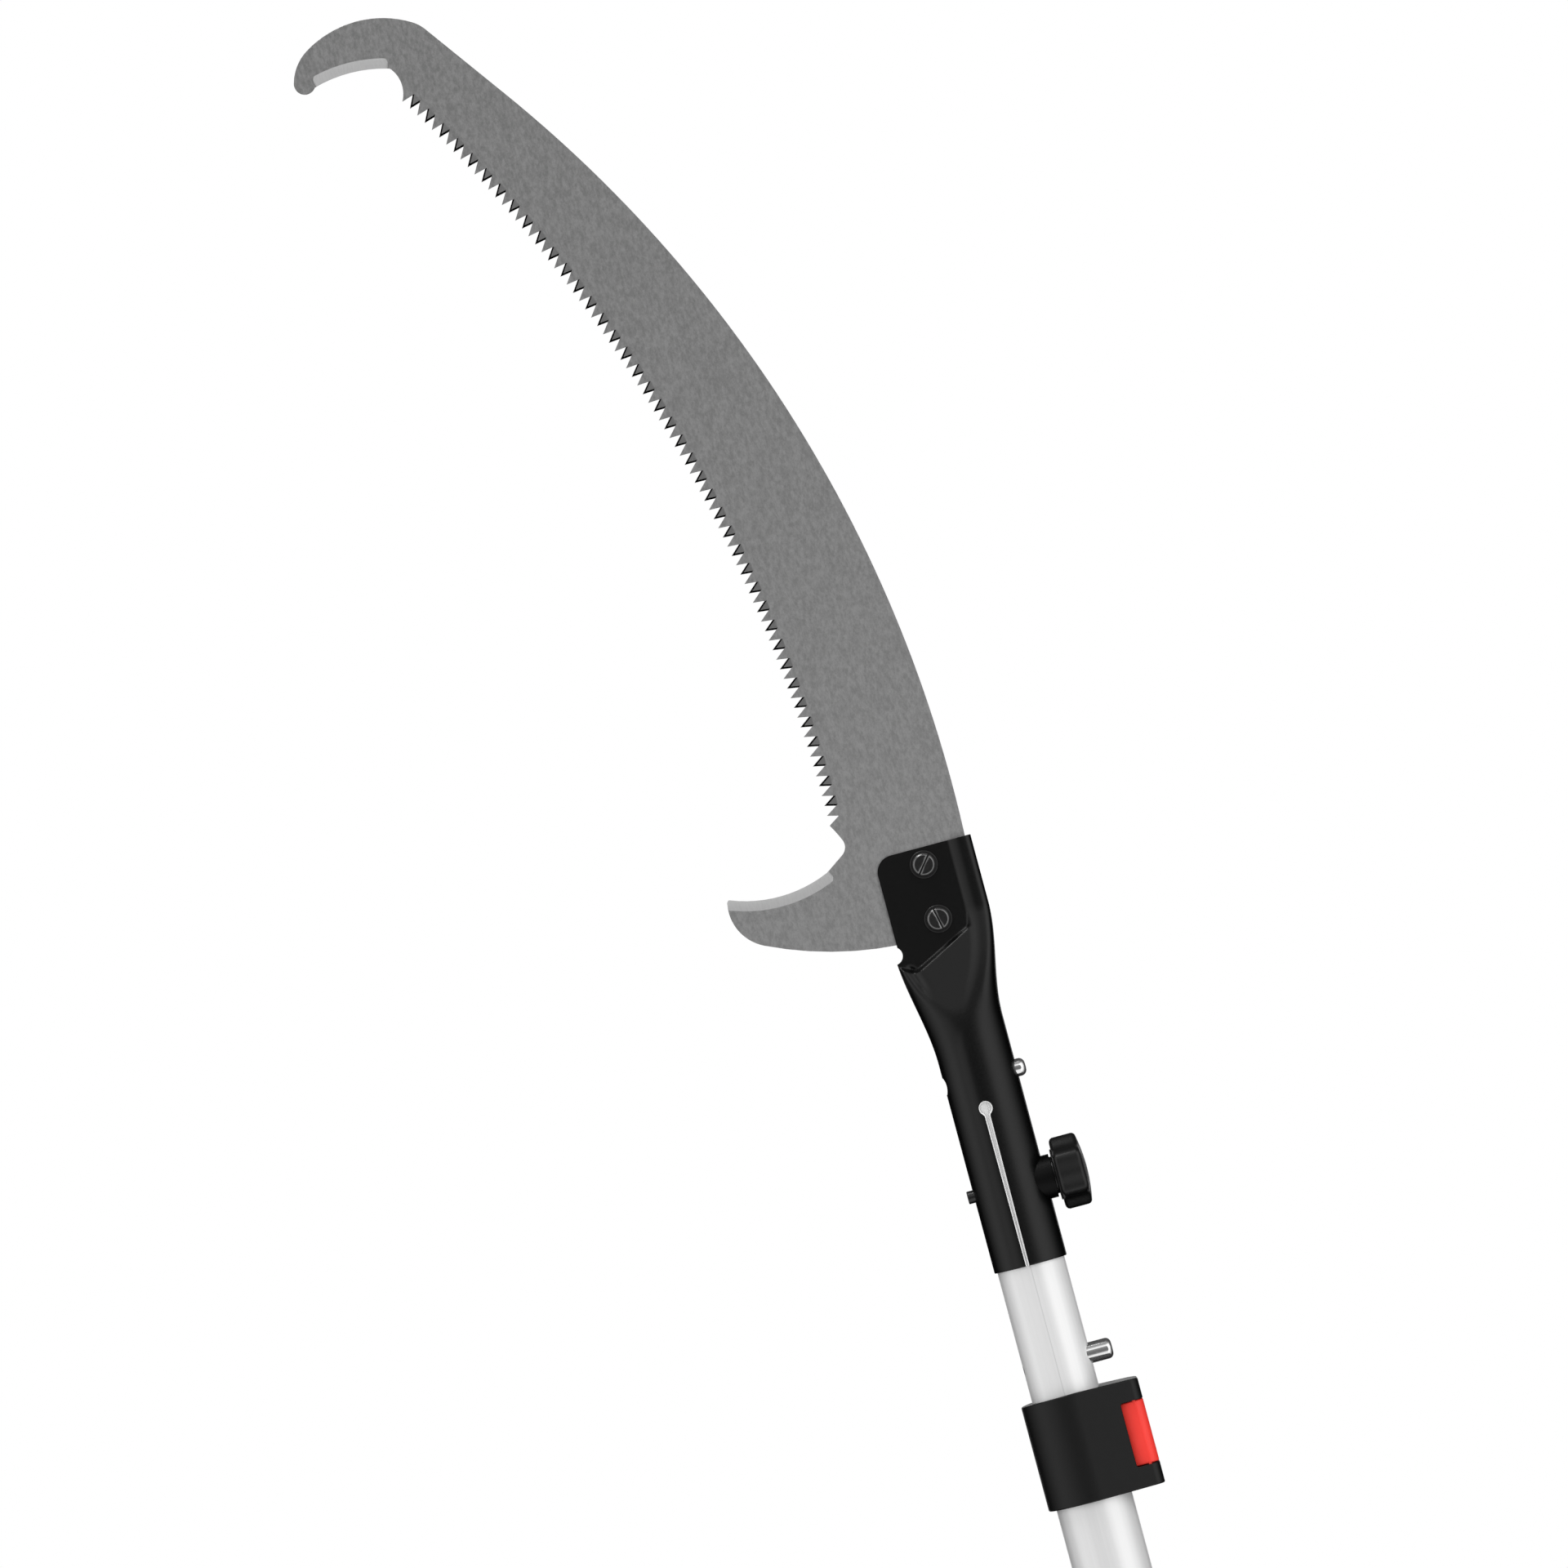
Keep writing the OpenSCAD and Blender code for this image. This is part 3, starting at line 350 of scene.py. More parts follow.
def metal(name, low, high, metallic, roughness, scale, relief=0, stretch=(1, 1, 1), detail=3, rubbed=()):
    """Steel with fine marks between two greys. rubbed is the range of its roughness, where it varies."""
    material, tree, node = shader(name, grey(high), metallic, roughness)
    marks = grain(tree, scale, stretch, detail)
    paint(tree, node, marks, grey(low), grey(high))
    if rubbed:
        rub(tree, node, marks, *rubbed)
    if relief:
        bump(tree, node, marks, relief)
    return material


def enamel():
    """The socket's black coat, with a faint orange peel."""
    material, tree, node = shader("socket_enamel", grey(0.002), 0.0, 0.33, Specular_IOR_Level=0.4)
    peel = grain(tree, 900, detail=2)
    paint(tree, node, grain(tree, 60), grey(0.0015), grey(0.0025))
    rub(tree, node, peel, 0.30, 0.36)
    bump(tree, node, peel, 0.006)
    return material


def anodised(name, low, high):
    """Satin anodised extrusion, with faint die lines along it."""
    material, tree, node = shader(name, grey(high), 0.25, 0.3)
    die = grain(tree, 420, (1, 1, 0.004), 3, 0.7)
    frost = grain(tree, 1200, (1, 1, 0.1), 2)
    paint(tree, node, remap(tree, die, 0.3, 0.7, 0, 1), grey(low), grey(high))
    rub(tree, node, frost, 0.29, 0.33)
    bump(tree, node, die, 0.004)
    return material


def plastic(name, low, high, roughness, scale, relief, **sockets):
    """Moulded plastic or rubber with a fine spark-eroded grain."""
    material, tree, node = shader(name, low, 0.0, roughness, **sockets)
    texture = grain(tree, scale, detail=3)
    paint(tree, node, grain(tree, scale / 12), low, high)
    rub(tree, node, texture, roughness * 0.9, roughness * 1.1)
    bump(tree, node, texture, relief)
    return material


# ---- Blade ----

LEVEL_RISE = 25.5
BLADE_LEVEL = SOCKET_TOP + LEVEL_RISE
BLADE_TOP = box("blade")[1].z
BLADE_T = 2.0
CHAMFER = 0.15
BACK_R, BACK_X, BACK_RISE = 615.0, 22.4, 361.5
BACK_SWEEP = math.degrees(math.asin(BACK_RISE / BACK_R))
TOOTH_R, TOOTH_X = 709.0, 37.4
TOOTH_PITCH, TOOTH_DEPTH, TOOTH_RAKE, TOOTH_COUNT = 4.75, 5.3, 0.28, 84
LAST_TOOTH = -0.4
FACET = 0.8
BEVEL_W, EDGE_T = 4.7, 0.5
BEVEL_RUN_OUT = 1.6
HOOK_EDGE_R, HOOK_HEADING, HOOK_SWEEP = 64.0, BACK_SWEEP - 20.5, -32.0
SICKLE_EDGE_R, SICKLE_HEADING, SICKLE_SWEEP = 61.0, -156.7, -45.0
# Degrees from the two ends of each edge's arc to those of its bevel
HOOK_PAST, SICKLE_PAST = (-0.8, 0.4), (1.2, -8)
# Stretches of the outline as walk() takes them: round the hook's back, in to the teeth, out of the
# teeth to the sickle's edge, and back along the sickle's belly
HOOK_BACK = [(47, 0), (18, 22.5), (48, 63.4), (22.4, 43), (5, 160)]
HOOK_THROAT = [(2, -36), (14.4, -66)]
HEEL_HEADING = -58.6
HEEL = [(57, -9), (5.5, -78), (10.8, 0)]
SICKLE_BELLY = [(1, 66), (2, 37), (0.8, 0), (21.2, 73), (163, 22)]
PLATE_LEFT, PLATE_R = 21.8, 8.0
TANG_RISE = 155.8
TANG_Z = SOCKET_Z + TANG_RISE
# The blade's materials by their index: its flats, its two bevels, the teeth's edges, whose near black is a
# painted dark reflection, and ground facets
FLAT, BEVEL, FLANK_PAINTED_DARK, GROUND_FACET = range(4)


def walk(p, heading, moves):
    """Points after p along a path of (length, 0) straights and (radius, turn) bends, in degrees."""
    step = 4
    points = []
    for size, turn in moves:
        if turn == 0:
            points.append(polar(p, size, heading))
        else:
            side = math.copysign(1, turn)
            c = polar(p, size, heading + 90 * side)
            n = max(2, math.ceil(abs(turn) / step))
            points += [polar(c, size, heading - 90 * side + turn * k / n) for k in range(1, n + 1)]
        p, heading = points[-1], heading + turn
    return points


def crossing(a, b):
    """Where two lines meet. Each is (point, point)."""
    (x1, y1), (x2, y2) = a
    (x3, y3), (x4, y4) = b
    d = (x1 - x2) * (y3 - y4) - (y1 - y2) * (x3 - x4)
    p, q = x1 * y2 - y1 * x2, x3 * y4 - y3 * x4
    return ((p * (x3 - x4) - (x1 - x2) * q) / d, (p * (y3 - y4) - (y1 - y2) * q) / d)


def shifted(line, distance):
    """The line moved to its left by distance."""
    (x1, y1), (x2, y2) = line
    n = math.hypot(x2 - x1, y2 - y1)
    dx, dy = -(y2 - y1) / n * distance, (x2 - x1) / n * distance
    return ((x1 + dx, y1 + dy), (x2 + dx, y2 + dy))


def ground(tooth, side):
    """Whether a tooth is ground on side 0, the front, or 1, the back. The end teeth are plain."""
    return 0 < tooth < TOOTH_COUNT - 1 and tooth % 2 != side


def tooth_corners():
    """Tips and gullets from the hook down, each as its place on the front and on the back.
    Teeth are ground from alternate sides, and a ground side's flanks stand back."""
    centre = (-TOOTH_X - TOOTH_R, BLADE_LEVEL)
    step = math.degrees(TOOTH_PITCH / TOOTH_R)
    first = LAST_TOOTH + (TOOTH_COUNT - 1) * step
    plain = []
    for k in range(TOOTH_COUNT):
        a = first - k * step
        plain.append(polar(centre, TOOTH_R, a))
        plain.append(polar(centre, TOOTH_R + TOOTH_DEPTH, a - TOOTH_RAKE * step))
    plain.pop()
    sides = []
    for side in (0, 1):
        lines = []
        for i in range(len(plain) - 1):
            flank = (plain[i], plain[i + 1])
            lines.append(shifted(flank, FACET if ground((i + 1) // 2, side) else 0))
        corners = [plain[0]] + [crossing(a, b) for a, b in zip(lines, lines[1:])] + [plain[-1]]
        sides.append(corners)
    return list(zip(*sides))


def blade_outline():
    """The outline's plain points before and after the teeth, and the two edge circles' centres."""
    back_c = (BACK_X - BACK_R, BLADE_LEVEL)
    tang = math.degrees(math.asin((TANG_Z - BLADE_LEVEL) / BACK_R))
    upper = arc(back_c, BACK_R, tang, BACK_SWEEP, 60)
    upper += walk(upper[-1], 90 + BACK_SWEEP, HOOK_BACK)
    hook_c = polar(upper[-1], HOOK_EDGE_R, HOOK_HEADING - 90)
    upper += walk(upper[-1], HOOK_HEADING, [(HOOK_EDGE_R, HOOK_SWEEP)] + HOOK_THROAT)
    last = polar((-TOOTH_X - TOOTH_R, BLADE_LEVEL), TOOTH_R, LAST_TOOTH)
    lower = walk(last, HEEL_HEADING, HEEL)
    sickle_c = polar(lower[-1], SICKLE_EDGE_R, SICKLE_HEADING - 90)
    lower += walk(lower[-1], SICKLE_HEADING, [(SICKLE_EDGE_R, SICKLE_SWEEP)] + SICKLE_BELLY)
    lower.append((-PLATE_LEFT + PLATE_R, TANG_Z))
    return upper, lower, hook_c, sickle_c


def inset(points, distance):
    """The closed outline's points moved inwards, which is to their left."""
    n = len(points)
    moved = []
    for i, (x, z) in enumerate(points):
        (ax, az), (bx, bz) = points[i - 1], points[(i + 1) % n]
        la, lb = math.hypot(x - ax, z - az), math.hypot(bx - x, bz - z)
        na, nb = (-(z - az) / la, (x - ax) / la), (-(bz - z) / lb, (bx - x) / lb)
        scale = distance / max(0.4, 1 + na[0] * nb[0] + na[1] * nb[1])
        moved.append((x + (na[0] + nb[0]) * scale, z + (na[1] + nb[1]) * scale))
    return moved


def edge_grinder(c, r, start, end, side, round_end):
    """Wedge that grinds one face of a cutting edge on a circle about c, from start to end.
    Its run-out is rounded at the ends that round_end names."""
    steps, run_out = 40, BEVEL_RUN_OUT
    slope = (BLADE_T - EDGE_T) / 2 / BEVEL_W
    low = EDGE_T / 2 - slope * BEVEL_W
    rings = []
    for k in range(steps + 1):
        a = start + (end - start) * k / steps
        w = BEVEL_W
        for name, at in (("start", start), ("end", end)):
            away = math.radians(abs(a - at)) * r
            if name in round_end and away < run_out:
                w = BEVEL_W - run_out + run_out * math.sqrt(max(0, 1 - (1 - away / run_out) ** 2))
        inner, outer = r - BEVEL_W, r + w
        profile = [(inner, low), (outer, EDGE_T / 2 + slope * w), (outer, BLADE_T), (inner, BLADE_T)]
        places = [(polar(c, d, a), side * y) for d, y in profile]
        rings.append([(x, y, z) for (x, z), y in places])
    points, faces = loft(rings)
    return solid("cutter", points, faces, MATERIALS_BLADE, [BEVEL] * len(faces))


def make_blade():
    """The blade as four points at each place of its outline, front to back. Its plain edges are
    chamfered, and its teeth are not."""
    upper, lower, hook_c, sickle_c = blade_outline()
    teeth = tooth_corners()
    plain = upper + [teeth[0][0]] + [teeth[-1][0]] + lower
    drawn = inset(plain, CHAMFER)
    n = len(upper)
    half = BLADE_T / 2
    levels = []
    for i, (x, z) in enumerate(plain):
        fx, fz = drawn[i]
        levels.append([(fx, -half, fz), (x, CHAMFER - half, z), (x, half - CHAMFER, z), (fx, half, fz)])
        if i == n:
            for front, back in teeth[1:-1]:
                f, b = (front[0], -half, front[1]), (back[0], half, back[1])
                levels.append([f, f, b, b])
    count = len(levels)
    points = [p for level in levels for p in level]
    faces, indices = [], []
    for i in range(count):
        a, b = 4 * i, 4 * ((i + 1) % count)
        tooth = n <= i < n + len(teeth) - 1
        for k in range(3):
            quad = []
            for v in (a + k, b + k, b + k + 1, a + k + 1):
                if all(points[v] != points[u] for u in quad):
                    quad.append(v)
            if len(quad) > 2:
                faces.append(quad)
                indices.append(FLANK_PAINTED_DARK if tooth else FLAT)
    for side, offset in ((0, 0), (1, 3)):
        tips = [n + 2 * t for t in range(TOOTH_COUNT) if ground(t, side)]
        faces += [[4 * (t + k) + offset for k in (-1, 0, 1)] for t in tips]
        indices += [GROUND_FACET] * len(tips)
        faces.append([4 * i + offset for i in range(count) if i not in tips])
        indices.append(FLAT)
    obj = solid("saw_blade", points, faces, MATERIALS_BLADE, indices)
    hook_a, sickle_a = HOOK_HEADING + 90, SICKLE_HEADING + 90
    hook = (hook_c, HOOK_EDGE_R, hook_a + HOOK_PAST[0], hook_a + HOOK_SWEEP + HOOK_PAST[1])
    sickle = (sickle_c, SICKLE_EDGE_R, sickle_a + SICKLE_PAST[0], sickle_a + SICKLE_SWEEP + SICKLE_PAST[1])
    for side in (-1, 1):
        cut(obj, edge_grinder(*hook, side, ("start", "end")), edge_grinder(*sickle, side, ("start",)))
    cut(obj, *[bar("Y", z, -WIDE, WIDE, BLADE_HOLE_R) for z in SCREW_Z])
    place(obj, "inner_section", "blade_steel", "blade", angle=20)


# ---- Socket ----

SHEET, SOCKET_FIT = 1.2, 0.1
SEAM_Y, SEAM_GAP = 0.9, 0.3
SOCKET_X, SOCKET_Y = TUBE_X[0] + (SHEET + SOCKET_FIT), TUBE_Y[0] + (SHEET + SOCKET_FIT)
SOCKET_EASE = 0.25
LEAF_Y = BLADE_T / 2 + SHEET
PLATE_SWELL = 0.15
LIP_LEFT, PLATE_RIGHT = 24.0, box("blade_socket")[1].x + PLATE_SWELL
SPINE_W, SPINE_PEAK, SPINE_HALF = 11.0, 4.8, 4.5
FLARE = (100.0, 155.0)
SPINE = (115.0, 167.0)
RIDGE = (104.0, 166.0)
LIP_TOP, NOTCH_R, NOTCH_OUT = 149.8, 4.2, 2.6
CREASE_X, CREASE_Z, CREASE_SLOPE, CREASE_W = -16.0, 145.4, 0.51, 1.6
FACET_X, FACET_Z, FACET_SLOPE, FACET_LEAN = -6.6, 118.0, 0.285, 0.25
RIM_W, RIM_HALF, RIM_RISE = 3.2, 4.6, (120, 138)
VALLEY_LEAN, VALLEY_W, VALLEY_DEPTH = 0.31, 2.1, 1.5
VALLEY_RISE, VALLEY_FALL = (129, 140), (145, 149)
KEYHOLE_Z, KEYHOLE_R = 75.5, 3.2
SLIT_X, SLIT_W, SLIT_TOP_W, SLIT_SPLAY, SLIT_REACH = -1.7, 1.3, 2.4, 0.6, 5


def oval_radii(x, y):
    """Radius of the round sides and of the broad faces of a four-arc oval."""
    side = x - SIDE_C
    return side, (SIDE_C ** 2 + y ** 2 - side ** 2) / (2 * (y - side))


def oval_y(u, x, y):
    side, face = oval_radii(x, y)
    meet = SIDE_C + side * SIDE_C / (face - side)
    if abs(u) < meet:
        return math.sqrt(face ** 2 - u ** 2) - face + y
    return math.sqrt(max(0.0, side ** 2 - (abs(u) - SIDE_C) ** 2))


def ridge_y(d, h):
    """Half depth of the ridge along the right edge, d in from it. The plate's rolled spine grows
    into the right half of the tube."""
    grow = math.cos(math.pi / 2 * min(1.0, max(0.0, (h - RIDGE[0]) / (RIDGE[1] - RIDGE[0]))))
    peak = SPINE_PEAK + (SOCKET_X - SPINE_PEAK) * grow ** 4
    top = SPINE_HALF + (SOCKET_Y - SPINE_HALF) * grow
    if d < peak:
        power = 3 - grow ** 2
        return top * (1 - (1 - d / peak) ** power) ** (1 / power)
    flank = (SPINE_W - SPINE_PEAK) * (1 + grow)
    u = min(1.0, (d - peak) / flank)
    return LEAF_Y + (top - LEAF_Y) * (1 - u ** (2 + grow))


def rim_y(x, h, left):
    """Half depth of the rounded rim along the left edge, up to the lip."""
    u = (left + RIM_W - x) / RIM_W
    if u < 0:
        shape = math.cos(math.pi / 2 * max(-1.0, u)) ** 2
    else:
        shape = 1 - 0.35 * u * u
    return RIM_HALF * shape * ease(h, *RIM_RISE) * (1 - ease(h, LIP_TOP - 9, LIP_TOP + 2))


def socket_y(x, h, left, right):
    """Half depth of the socket at (x, h). A sloping facet flattens the tube's oval and drops to the
    plate at the crease. A valley runs between it and the rim of the lip."""
    half = (right - left) / 2
    u = (x - left) / half - 1
    facet = SOCKET_Y - FACET_SLOPE * (h - FACET_Z - FACET_LEAN * (x - FACET_X))
    y = -soft_max(-oval_y(u * SOCKET_X, SOCKET_X, SOCKET_Y), -facet, 1.5)
    crease = CREASE_Z + CREASE_SLOPE * (math.hypot(x - CREASE_X, 1.0) - 1)
    drop = min(1.0, max(0.0, (h - crease + CREASE_W) / CREASE_W))
    y = LEAF_Y + (y - LEAF_Y) * (1 - drop)
    ridge = ridge_y(right - x, h)
    y = soft_max(y, ridge, 0.3 + 0.9 * ease(ridge, LEAF_Y, LEAF_Y + 1))
    bottom = CREASE_X - 2.0 - VALLEY_LEAN * (h - CREASE_Z)
    depth = VALLEY_DEPTH * (math.exp(-((x - bottom) / VALLEY_W) ** 2) * ease(h, *VALLEY_RISE)
                            * (1 - ease(h, *VALLEY_FALL)))
    return soft_max(y - depth, rim_y(x, h, left), 1.0)


def socket_ring(h, margin):
    """Outline of the socket at height h over its bottom, drawn in by margin."""
    sides = 200
    left = -SOCKET_X - (LIP_LEFT - SOCKET_X) * ease(h, *FLARE)
    right = SOCKET_X + (PLATE_RIGHT - SOCKET_X) * ease(h, *SPINE)
    mid, half = (left + right) / 2, (right - left) / 2
    ring = []
    for k in range(sides):
        a = 2 * math.pi * (k + 0.5) / sides
        x = mid + (half - margin) * math.cos(a)
        y = max(max(socket_y(x, h, left, right), SEAM_Y) - margin, SEAM_GAP)
        ring.append((x, math.copysign(y, math.sin(a)), SOCKET_Z + h))
    return ring


def keyhole_outline(grow):
    """The slit, wider towards its round end, with a small fillet where they meet."""
    z = SOCKET_Z + KEYHOLE_Z
    low, half = SLIT_W / 2 + grow, SLIT_TOP_W / 2 + grow
    radius, fillet = KEYHOLE_R + grow, 2.0
    reach = radius + fillet
    down = math.sqrt(reach ** 2 - (half + fillet) ** 2)
    angle = math.degrees(math.atan2(down, half + fillet))
    right = arc((SLIT_X + half + fillet, z - down), fillet, 180, 180 - angle, 6)
    left = arc((SLIT_X - half - fillet, z - down), fillet, angle, 0, 6)
    top = arc((SLIT_X, z), radius, -angle, 180 + angle, 36)[1:-1]
    bottom = SOCKET_Z - SLIT_REACH
    return [(SLIT_X + low, bottom)] + right + top + left + [(SLIT_X - low, bottom)]


def slit_cutter():
    """The slit's walls lean outwards through the sheet, and are painted near white, a painted light that
    brightens the slit.
    """
    outside, inside = SOCKET_Y + OVER, SOCKET_Y - SHEET
    wide, narrow = (keyhole_outline(grow) for grow in (SLIT_SPLAY / SHEET, -SLIT_SPLAY))
    levels = ((-outside, wide), (-inside, narrow), (inside, narrow), (outside, wide))
    points, faces = loft([[(x, y, z) for x, z in outline] for y, outline in levels])
    return solid("cutter", points, faces, [ENAMEL, SLIT_WALL_PAINTED_LIGHT], [1] * len(faces))


def plate_cutter():
    """What is taken off beside the plate: above the lip, round the notch and over the corner."""
    notch_c = (-PLATE_LEFT - NOTCH_OUT, SOCKET_Z + LIP_TOP + NOTCH_R)
    corner_c = (-PLATE_LEFT + PLATE_R, SOCKET_TOP - PLATE_R)
    outline = [(-WIDE, SOCKET_Z + LIP_TOP)]
    outline += arc(notch_c, NOTCH_R, -90, math.degrees(math.acos(NOTCH_OUT / NOTCH_R)), 24)
    outline += arc(corner_c, PLATE_R, 180, 90, 16)
    return outline + [(corner_c[0], SOCKET_TOP + OVER), (-WIDE, SOCKET_TOP + OVER)]


def make_socket():
    """The pressed sheet as a closed skin. Its rings lie closest where the crease and the rim are."""
    heights = [0, 0.4, 1, 50, 99]
    for start, step, count in ((100, 2, 10), (120, 0.8, 22), (137.5, 0.45, 51), (161.5, 2, 19)):
        heights += [start + step * k for k in range(count)]
    heights.append(SOCKET_H)
    outer = [socket_ring(h, 0 if h else SOCKET_EASE) for h in heights]
    inner = [socket_ring(h, SHEET) for h in heights]
    obj = solid("blade_socket_shell", *loft(outer + inner[::-1], closed=True), [ENAMEL, SLIT_WALL_PAINTED_LIGHT])
    cut(obj, slab(plate_cutter(), -WIDE, WIDE), slit_cutter(),
        bar("X", SNAP_Z, -WIDE, WIDE, SNAP_HOLE_R), bar("X", CLAMP_Z, -WIDE, WIDE, STUD_HOLE_R),
        *[bar("Y", z, -WIDE, WIDE, BLADE_HOLE_R) for z in SCREW_Z])
    place(obj, "inner_section", "socket_black", "blade_socket", angle=40)


# ---- Head fittings ----

WASHER_T, NUT_T, SCREW_TAIL = 1, 5, 1.5
SCREW_HEAD_T, SHANK_R, SHANK_EASE = 2.8, 3.0, 0.5
SLOT_TURNS = (-12, 39)
# Half a screw's slot, as (half width, depth below the head's top)
SLOT_HALF = [(0.95, -OVER), (0.95, 0.05), (0.4, 0.3), (0.4, 1.2)]


def make_screws():
    """Two slotted cheese head screws with their shanks."""
    face, r = -LEAF_Y - WASHER_T, SCREW_HEAD_R
    top = face - SCREW_HEAD_T
    nut_end = LEAF_Y + WASHER_T + NUT_T + SCREW_TAIL
    profile = [(top + 0.25, AXIS_R), (top + 0.15, 1.5), (top, r - 1.1), (top + 0.12, r - 0.75),
               (top + 0.55, r - 0.2), (top + 1.0, r), (face, r), (face, SHANK_R),
               (nut_end - SHANK_EASE, SHANK_R), (nut_end, SHANK_R - SHANK_EASE), (nut_end, AXIS_R)]
    section = [(x, top + y) for x, y in SLOT_HALF] + [(-x, top + y) for x, y in SLOT_HALF[::-1]]
    for k, (z, turn) in enumerate(zip(SCREW_Z, SLOT_TURNS)):
        rings = revolve(profile, "Y", (0, 0, z), 72)
        obj = solid("blade_screw_%d" % k, *loft(rings), [SCREW, SCREW_WEAR_AND_HIGHLIGHT])
        slot = solid("cutter", *loft([[(x, y, end) for x, y in section] for end in (-r - OVER, r + OVER)]))
        rotation = Matrix.Rotation(math.radians(turn), 4, "Y")
        slot.data.transform(Matrix.Translation((0, 0, z * MM)) @ rotation)
        cut(obj, slot)
        soften(obj, 0.12, 2, 50)
        wear_and_highlight_faces(obj, z, r - 1.15, r - 0.1, top + 0.8)
        place(obj, "inner_section", "screw_black", *(["blade_screws"] if k == 0 else []))


def wear_and_highlight_faces(obj, z, r0, r1, y_max):
    """Gives the rim of a screw's head, and the edges of its slot, their own brighter material: on the rim it
    is wear and a painted highlight, on the slot's edges a painted highlight.
    """
    for p in obj.data.polygons:
        c = p.center / MM
        r = math.hypot(c.x, c.z - z)
        if c.y < y_max and (r0 < r < r1 or (r < r0 and 0.3 < -p.normal.y < 0.93)):
            p.material_index = 1


KNOB_LOBES, KNOB_SCALLOP, HUB_R, HUB_T = 6, 2.8, 12.0, 0.7
KNOB_CROWN, KNOB_CORNER, CORNER_ANGLES = 1.5, 2.1, (15, 30, 45, 60, 72)
# Steps of the knob's rounded back, as (distance from the hub, how far it is drawn in)
KNOB_HEEL = [(0, 2.4), (0.2, 1.4), (0.8, 0.5), (1.8, 0.0)]


def make_knob():
    """Knob with six scallops between rounded ridges, a domed face and a round hub at the back."""
    sides = 180
    length = KNOB_FRONT - KNOB_BACK
    front = length - KNOB_CROWN - KNOB_CORNER
    rings = []
    for d, r in ((0, HUB_R - 0.3), (0.2, HUB_R), (HUB_T, HUB_R)):
        rings.append([(KNOB_BACK + d, y, z) for y, z in arc((0, CLAMP_Z), r, 0, 360, sides)[:-1]])
    turned = [(math.sin(math.radians(a)), math.cos(math.radians(a))) for a in CORNER_ANGLES]
    profile = [(HUB_T + d, draw) for d, draw in KNOB_HEEL] + [(front, 0.0)]
    profile += [(front + KNOB_CORNER * u, KNOB_CORNER - KNOB_CORNER * v) for u, v in turned]
    for d, draw in profile:
        ring = []
        for k in range(sides):
            a = 2 * math.pi * k / sides
            r = KNOB_R - draw - KNOB_SCALLOP * abs(math.cos(KNOB_LOBES / 2 * a)) ** 1.5
            ring.append((KNOB_BACK + d, r * math.cos(a), CLAMP_Z + r * math.sin(a)))
        rings.append(ring)
    rim, edge = rings[-1], profile[-1][0]
    for share in (0.93, 0.8, 0.6, 0.35, 0.12, 0.02):
        d = edge + (length - edge) * (1 - share ** 2)
        rings.append([(KNOB_BACK + d, y * share, CLAMP_Z + (z - CLAMP_Z) * share) for _, y, z in rim])
    obj = solid("knob", *loft(rings), [KNOB])
    place(obj, "clamp_knob", "knob_plastic", "clamp_knob", angle=40)


def make_pin(name, node, d, edge):
    """Push pin with a rounded tip, a flange at its inner end and a hollow back. Its body is named
    like its node."""
    low, high = box(node)
    z = (low.z + high.z) / 2
    r, flange_r, back, tip = d / 2, (high.z - low.z) / 2, low.x, high.x
    flange, soft, wall = 1.2, 0.2, 1
    profile = [(back, flange_r - soft), (back + soft, flange_r), (back + flange - soft, flange_r),
               (back + flange, flange_r - soft), (back + flange, r)]
    profile += rounded(tip, r, edge, 8) + [(tip, AXIS_R)]
    profile += [(tip - edge, AXIS_R), (tip - edge, r - wall), (back, r - wall)]
    obj = solid(name, *loft(revolve(profile, "X", (0, 0, z), 72), closed=True), [POLISHED])
    place(obj, node, "polished_steel", node, angle=35)


def refined(name, node, body, slot, width, segments=2, material=None):
    """A copy of a CAD node's shape with its sharp edges rounded."""
    bm = bmesh.new()
    bm.from_mesh(frame["nodes"][node].data)
    bmesh.ops.remove_doubles(bm, verts=bm.verts, dist=2e-6)
    bmesh.ops.dissolve_limit(bm, angle_limit=math.radians(0.4), verts=bm.verts, edges=bm.edges)
    index = {v: i for i, v in enumerate(bm.verts)}
    points = [v.co / MM for v in bm.verts]
    faces = [[index[v] for v in f.verts] for f in bm.faces]
    bm.free()
    obj = solid(name, points, faces, [material or SLOTS[slot]])
    soften(obj, width, segments)
    place(obj, body, slot, node)


# ---- Tubes ----


GROOVE_X, GROOVE_HALF, GROOVE_DEPTH = -0.6, 0.25, 0.06
TUBE_EASE = 0.25


def oval_ring(x, y, z):
    """Four-arc oval as a ring of points at height z."""
    side_steps, face_steps = 22, 26
    side, face = oval_radii(x, y)
    b = math.degrees(math.atan2(face - y, SIDE_C))
    ring = arc((SIDE_C, 0), side, -b, b, side_steps)[:-1]
    ring += arc((0, y - face), face, b, 180 - b, face_steps)[:-1]
    ring += arc((-SIDE_C, 0), side, 180 - b, 180 + b, side_steps)[:-1]
    ring += arc((0, face - y), face, 180 + b, 360 - b, face_steps)[:-1]
    return [(px, py, z) for px, py in ring]


def grooved(ring, depth):
    """The ring with the fine line that runs along the tube's broad face, and where it is."""
    x0, half = GROOVE_X, GROOVE_HALF
    i = next(k for k, (a, b) in enumerate(zip(ring, ring[1:])) if a[1] < 0 and a[0] <= x0 < b[0])
    (xa, ya, z), (xb, yb, _) = ring[i], ring[i + 1]
    y = ya + (yb - ya) * (x0 - xa) / (xb - xa)
    return ring[:i] + [(x0 - half, y, z), (x0, y + depth, z), (x0 + half, y, z)] + ring[i + 2:], i


def hole(axis, z, r, side, start, end):
    """Cutter through one wall of a tube, from start to end out from its axis on side 1 or -1."""
    return bar(axis, z, *((start, end) if side > 0 else (-end, -start)), r)


